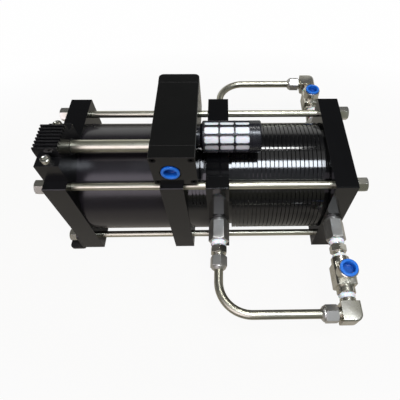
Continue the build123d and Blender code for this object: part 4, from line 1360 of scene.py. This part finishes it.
@dataclass
class GasFittings:
    """One side's check valves, adapters, tee, elbow and bent tube. Places count outwards from the plates."""

    side: Side
    shank: float = 13.0
    shank_radius: float = 10.0
    collar_radius: float = 13.5
    collar_length: float = 4.5
    collar_break: float = 0.5
    check_across: float = 27.0
    check_end: float = 36.0
    seat_at: float = 6.0
    seat_radius: float = 4.0
    chamber_end: float = 22.0
    chamber_radius: float = 8.0
    socket_radius: float = 8.6
    fit_gap: float = 0.1
    neck_radius: float = 7.75
    hex_start: float = 44.5
    hex_end: float = 56.0
    hex_across: float = 22.0
    hex_share: float = 0.95
    connector_turn: float = 22.0
    nipple_turn: float = 30.0
    thread_radius: float = 9.25
    thread_depth: float = 0.7
    thread_pitch: float = 1.27
    thread_end: float = 74.0
    thread_shown: float = 62.0
    bore_radius: float = 4.5
    tube_radius: float = 6.45
    tube_stop: float = 63.0
    nut_gap: float = 4.5
    nut_length: float = 20.5
    elbow_nut_length: float = 22.0
    nut_skirt: float = 4.0
    nut_across: float = 22.2
    nut_turn: float = 14.0
    elbow_nut_turn: float = 30.0
    nut_skirt_radius: float = 10.6
    nut_skirt_taper: float = 0.2
    nut_cone: float = 2.6
    nut_mouth: tuple[float, float, float] = (0.4, 1.4, 0.9)
    nut_thread_spare: float = 0.5
    tee_start: float = 64.6
    tee_end: float = 118.6
    tee_shank: float = 12.0
    block_half: float = 17.0
    block_across: float = 29.0
    block_corner_across: float = 37.5
    block_inner: float = 12.4
    block_ease: float = 0.8
    block_steps: int = 144
    elbow_inset: float = 1.0
    elbow_round: float = 10.0
    elbow_edge: float = 2.6
    elbow_inner_edge: float = 0.5
    elbow_steps: int = 24
    elbow_collar_radius: float = 11.0
    elbow_collar_from_tee: float = 6.2
    elbow_collar_length: float = 3.8
    elbow_neck_step: float = 1.2
    elbow_body_from_tee: float = 14.0
    valve_tape: tuple[float, float, float] = (6.6, 11.4, 2.2)
    near_tape: tuple[float, float, float] = (-5.5, 10.6, 1.4)
    far_tape: tuple[float, float, float] = (6.0, 11.6, 1.8)
    spring_wire: float = 1.1
    spring_turns: int = 6
    poppet_travel: float = 3.0
    name: str = field(init=False)

    def __post_init__(self) -> None:
        """Take the side's name."""
        self.name = self.side.name.lower()

    def spindle(self, place: str) -> Spindle:
        """The axis of the fittings in one gas plate.

        Args:
            place: inner or outer.

        Returns:
            The axis, from the plate's side face outwards.
        """
        low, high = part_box(f"{place}_gas_plate")
        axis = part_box("gas_barrel")
        face = low.y if self.side is Side.FRONT else high.y
        return Spindle(Vector(((low.x + high.x) / 2, face, (axis[0].z + axis[1].z) / 2)),
                       Vector((0.0, float(self.side.value), 0.0)))

    def elbow_spindle(self) -> Spindle:
        """The axis of the tube's run, from the elbow's body towards the tube."""
        low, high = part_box(f"{self.name}_elbow")
        thickness = (high.z - low.z)
        far = low.y if self.side is Side.FRONT else high.y
        centre_y = far - self.side.value * thickness / 2
        return Spindle(Vector((high.x - thickness, centre_y, (low.z + high.z) / 2)), TO_LEFT)

    def check_valves(self) -> None:
        """The two check valves' bodies, with a flat on top, and what moves in them."""
        shank, collar, radius = -self.shank, self.collar_length, self.collar_radius
        for place in ("inner", "outer"):
            rows = circles((shank, self.seat_radius), (shank, self.shank_radius - EASE),
                           (shank + EASE, self.shank_radius), (0.0, self.shank_radius),
                           (0.0, radius - SMALL_BREAK), (SMALL_BREAK, radius),
                           (collar - self.collar_break, radius), (collar, radius - self.collar_break))
            rows += hexagon(collar, self.check_end, self.check_across, 0.0, 0.0, self.hex_share)
            rows += circles((self.check_end, self.socket_radius), (self.chamber_end, self.socket_radius),
                            (self.chamber_end, self.chamber_radius), (self.seat_at, self.chamber_radius),
                            (self.seat_at, self.seat_radius))
            shape = bmesh.new()
            turned(shape, self.spindle(place), rows)
            node = f"{self.name}_{place}_check"
            new_piece(f"{node}_body_hexagon", shape, Finishes.satin_steel,
                      stands_for=(f"{node}_body",))
            dress_node(f"{node}_poppet", Finishes.poppet_steel)
            Coil(f"{node}_spring", f"{self.name}_{place}_poppet_lift", self.spring_wire, self.spring_turns,
                 self.poppet_travel, Vector((0.0, -1.0, 0.0))).build()

    def adapter(self, turn: float) -> list[Row]:
        """Rows of an adapter's shank, neck and hexagon.

        Args:
            turn: Degrees from up to the middle of a flat.

        Returns:
            The rows, from the bore's inner end to the hexagon's outer end.
        """
        shank = self.socket_radius - self.fit_gap
        rows = circles((self.chamber_end, self.bore_radius), (self.chamber_end, shank),
                       (self.check_end, shank), (self.check_end + self.fit_gap, self.neck_radius),
                       (self.hex_start, self.neck_radius))
        share = self.hex_share
        return rows + hexagon(self.hex_start, self.hex_end, self.hex_across, turn, share, share)

    def tube_end(self, base: float) -> list[Row]:
        """Rows of a thread that a tube nut screws on, and of the tube's seat in it.

        Args:
            base: Where the thread starts.

        Returns:
            The rows.
        """
        stub, stop = (base - self.hex_end + place for place in (self.thread_end, self.tube_stop))
        return circles((stub, self.thread_radius - self.thread_depth), (stub, self.tube_radius),
                       (stop, self.tube_radius), (stop, self.bore_radius))

    def connector(self, shape: Shape) -> None:
        """Add the connector between the inner check valve and the tube."""
        rows = self.adapter(self.connector_turn)
        rows += thread(self.hex_end, self.thread_shown, self.thread_radius, self.thread_depth,
                       self.thread_pitch)
        turned(shape, self.spindle("inner"), rows + self.tube_end(self.hex_end))

    def nipple(self, shape: Shape) -> None:
        """Add the hexagon nipple between the outer check valve and the tee."""
        shank, end = self.socket_radius - self.fit_gap, self.tee_start + self.tee_shank
        rows = self.adapter(self.nipple_turn)
        rows += circles((self.hex_end, self.neck_radius), (self.tee_start, self.neck_radius),
                        (self.tee_start, shank), (end, shank), (end, self.bore_radius))
        turned(shape, self.spindle("outer"), rows)

    def nuts(self, shape: Shape) -> None:
        """Add the tube nuts on the connector and on the elbow."""
        inside = self.thread_radius + self.fit_gap
        mouth_depth, mouth_wall, mouth_edge = self.nut_mouth
        for spindle, base, turn, length in (
                (self.spindle("inner"), self.hex_end, self.nut_turn, self.nut_length),
                (self.elbow_spindle(), 0.0, self.elbow_nut_turn, self.elbow_nut_length)):
            start = base + self.nut_gap
            end = start + length
            skirt = end - self.nut_skirt
            bore_end = base + self.thread_end - self.hex_end + self.nut_thread_spare
            rows = circles((start, inside))
            rows += hexagon(start, skirt, self.nut_across, turn, self.hex_share, self.hex_share)
            rows += circles((skirt, self.nut_skirt_radius),
                            (end - self.nut_cone, self.nut_skirt_radius - self.nut_skirt_taper),
                            (end - mouth_depth, self.tube_radius + mouth_wall),
                            (end, self.tube_radius + mouth_edge), (end, self.tube_radius),
                            (bore_end, self.tube_radius), (bore_end, inside))
            turned(shape, spindle, rows)

    def elbow_reach(self, way: Vector, reach: float) -> float:
        """Distance from the elbow's inner corner to its outline, a square with one rounded corner.

        Args:
            way: Direction, with both parts positive.
            reach: The square's side.

        Returns:
            The distance.
        """
        centre = reach - self.elbow_round
        along = centre * (way.x + way.y)
        root = along * along - 2 * centre * centre + self.elbow_round ** 2
        tiny = 1.0e-6
        if root > 0 and (along + math.sqrt(root)) * min(way.x, way.y) > centre:
            return along + math.sqrt(root)
        return min(reach / max(way.x, tiny), reach / max(way.y, tiny))

    def elbow_body(self, shape: Shape) -> None:
        """Add the elbow's forged body, swept round its inner corner."""
        low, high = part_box(f"{self.name}_elbow")
        half = (high.z - low.z) / 2 / MM
        outward = float(self.side.value)
        far = low.y if self.side is Side.FRONT else high.y
        reach = 2 * half + self.elbow_inset
        corner = Vector((high.x - reach * MM, far - outward * reach * MM, (low.z + high.z) / 2))
        inner, ease, q = self.elbow_inset, self.elbow_inner_edge, self.elbow_edge
        rings = []
        for i in range(self.elbow_steps + 1):
            angle = math.pi / 2 * i / self.elbow_steps
            way = Vector((math.cos(angle), math.sin(angle)))
            out = self.elbow_reach(way, reach) - q
            section = [(inner, ease - half), (inner + ease, -half)]
            section += [(out + q * math.sin(b), q - half - q * math.cos(b)) for b in quarter_turn()]
            section += [(out + q * math.cos(b), half - q + q * math.sin(b)) for b in quarter_turn()]
            section += [(inner + ease, half), (inner, half - ease)]
            rings.append([corner + Vector((way.x * u, outward * way.y * u, z)) * MM for u, z in section])
        skin(shape, rings, Closing.CAPS)

    def elbow(self) -> None:
        """The elbow with its collar and its two threads."""
        shape = bmesh.new()
        self.elbow_body(shape)
        shank, radius = self.socket_radius - self.fit_gap, self.elbow_collar_radius
        male, collar = self.tee_end - self.tee_shank, self.tee_end + self.elbow_collar_from_tee
        collar_end, body = collar + self.elbow_collar_length, self.tee_end + self.elbow_body_from_tee
        turned(shape, self.spindle("outer"),
               circles((male, self.bore_radius), (male, shank), (collar, shank), (collar, radius - EASE),
                       (collar + EASE, radius), (collar_end, radius),
                       (collar_end, radius - self.elbow_neck_step), (body, radius - self.elbow_neck_step),
                       (body, self.bore_radius)))
        shown = self.nut_gap + EASE
        rows = circles((-self.elbow_inset, self.bore_radius))
        rows += thread(-self.elbow_inset / 2, shown, self.thread_radius, self.thread_depth, self.thread_pitch)
        turned(shape, self.elbow_spindle(), rows + self.tube_end(0.0))
        node = f"{self.name}_elbow"
        new_piece(f"{node}_forged", shape, Finishes.fitting_steel, stands_for=(node,))

    def tee_block(self) -> None:
        """The square middle of the tee, round the frame's collars."""
        square = polygon(4, self.block_across, 0.0)
        corners = polygon(4, self.block_corner_across, 45.0)
        start = (self.tee_start + self.tee_end) / 2 - self.block_half
        end, ease = start + 2 * self.block_half, self.block_ease

        def side(inset: float) -> Callable[[float], float]:
            """The block's outline, drawn in by an inset."""
            return lambda angle: min(square(angle), corners(angle)) - inset

        rows = [circle(start, self.block_inner), Row(start, side(ease)), Row(start + ease, side(0.0)),
                Row(end - ease, side(0.0)), Row(end, side(ease)), circle(end, self.block_inner)]
        shape = bmesh.new()
        turned(shape, self.spindle("outer"), rows, steps=self.block_steps)
        new_piece(f"{self.name}_tee_block", shape, Finishes.fitting_steel)

    def tapes(self) -> None:
        """Wind tape on the four pipe threads that show."""
        for label, place, start, band in (
                ("inner_valve", "inner", self.check_end, self.valve_tape),
                ("outer_valve", "outer", self.check_end, self.valve_tape),
                ("tee_near", "outer", self.tee_start, self.near_tape),
                ("tee_far", "outer", self.tee_end, self.far_tape)):
            length, outer, taper = band
            Tape(f"{self.name}_{label}_tape", self.spindle(place), start, start + length, self.neck_radius,
                 outer, taper).build()

    def build(self) -> None:
        """Make and dress this side's fittings and wind its tape."""
        self.check_valves()
        dress_node(f"{self.name}_tube", Finishes.tube_steel)
        dress_node(f"{self.name}_tee", Finishes.fitting_steel)
        self.elbow()
        self.tee_block()
        Plug(f"{self.name}_tee_plug", f"{self.name}_plug", UPWARD, TO_RIGHT).build()
        self.tapes()


def shared_fittings(sides: Sequence[GasFittings]) -> None:
    """Make the fittings that both sides keep in one node.

    Args:
        sides: The fittings of both sides.
    """
    connectors, nipples, nuts = bmesh.new(), bmesh.new(), bmesh.new()
    for fittings in sides:
        fittings.connector(connectors)
        fittings.nipple(nipples)
        fittings.nuts(nuts)
    for name, shape, finish, node in (
            ("tube_connectors_threaded", connectors, Finishes.fitting_steel, "tube_connectors"),
            ("hex_nipples_chamfered", nipples, Finishes.fitting_steel, "hex_nipples"),
            ("tube_nuts_skirted", nuts, Finishes.satin_steel, "tube_nuts")):
        new_piece(name, shape, finish, stands_for=(node,))


def main() -> None:
    """Build the studio and dress every sub-assembly."""
    logging.basicConfig(level=logging.INFO, format="%(message)s")
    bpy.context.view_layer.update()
    Studio().build()
    PlateStack().build()
    Cylinders().build()
    PilotWork().build()
    ValveBlock().build()
    Muffler().build()
    sides = [GasFittings(side) for side in Side]
    for fittings in sides:
        fittings.build()
    shared_fittings(sides)
    log.info("sizes written")


if __name__ == "__main__":
    main()
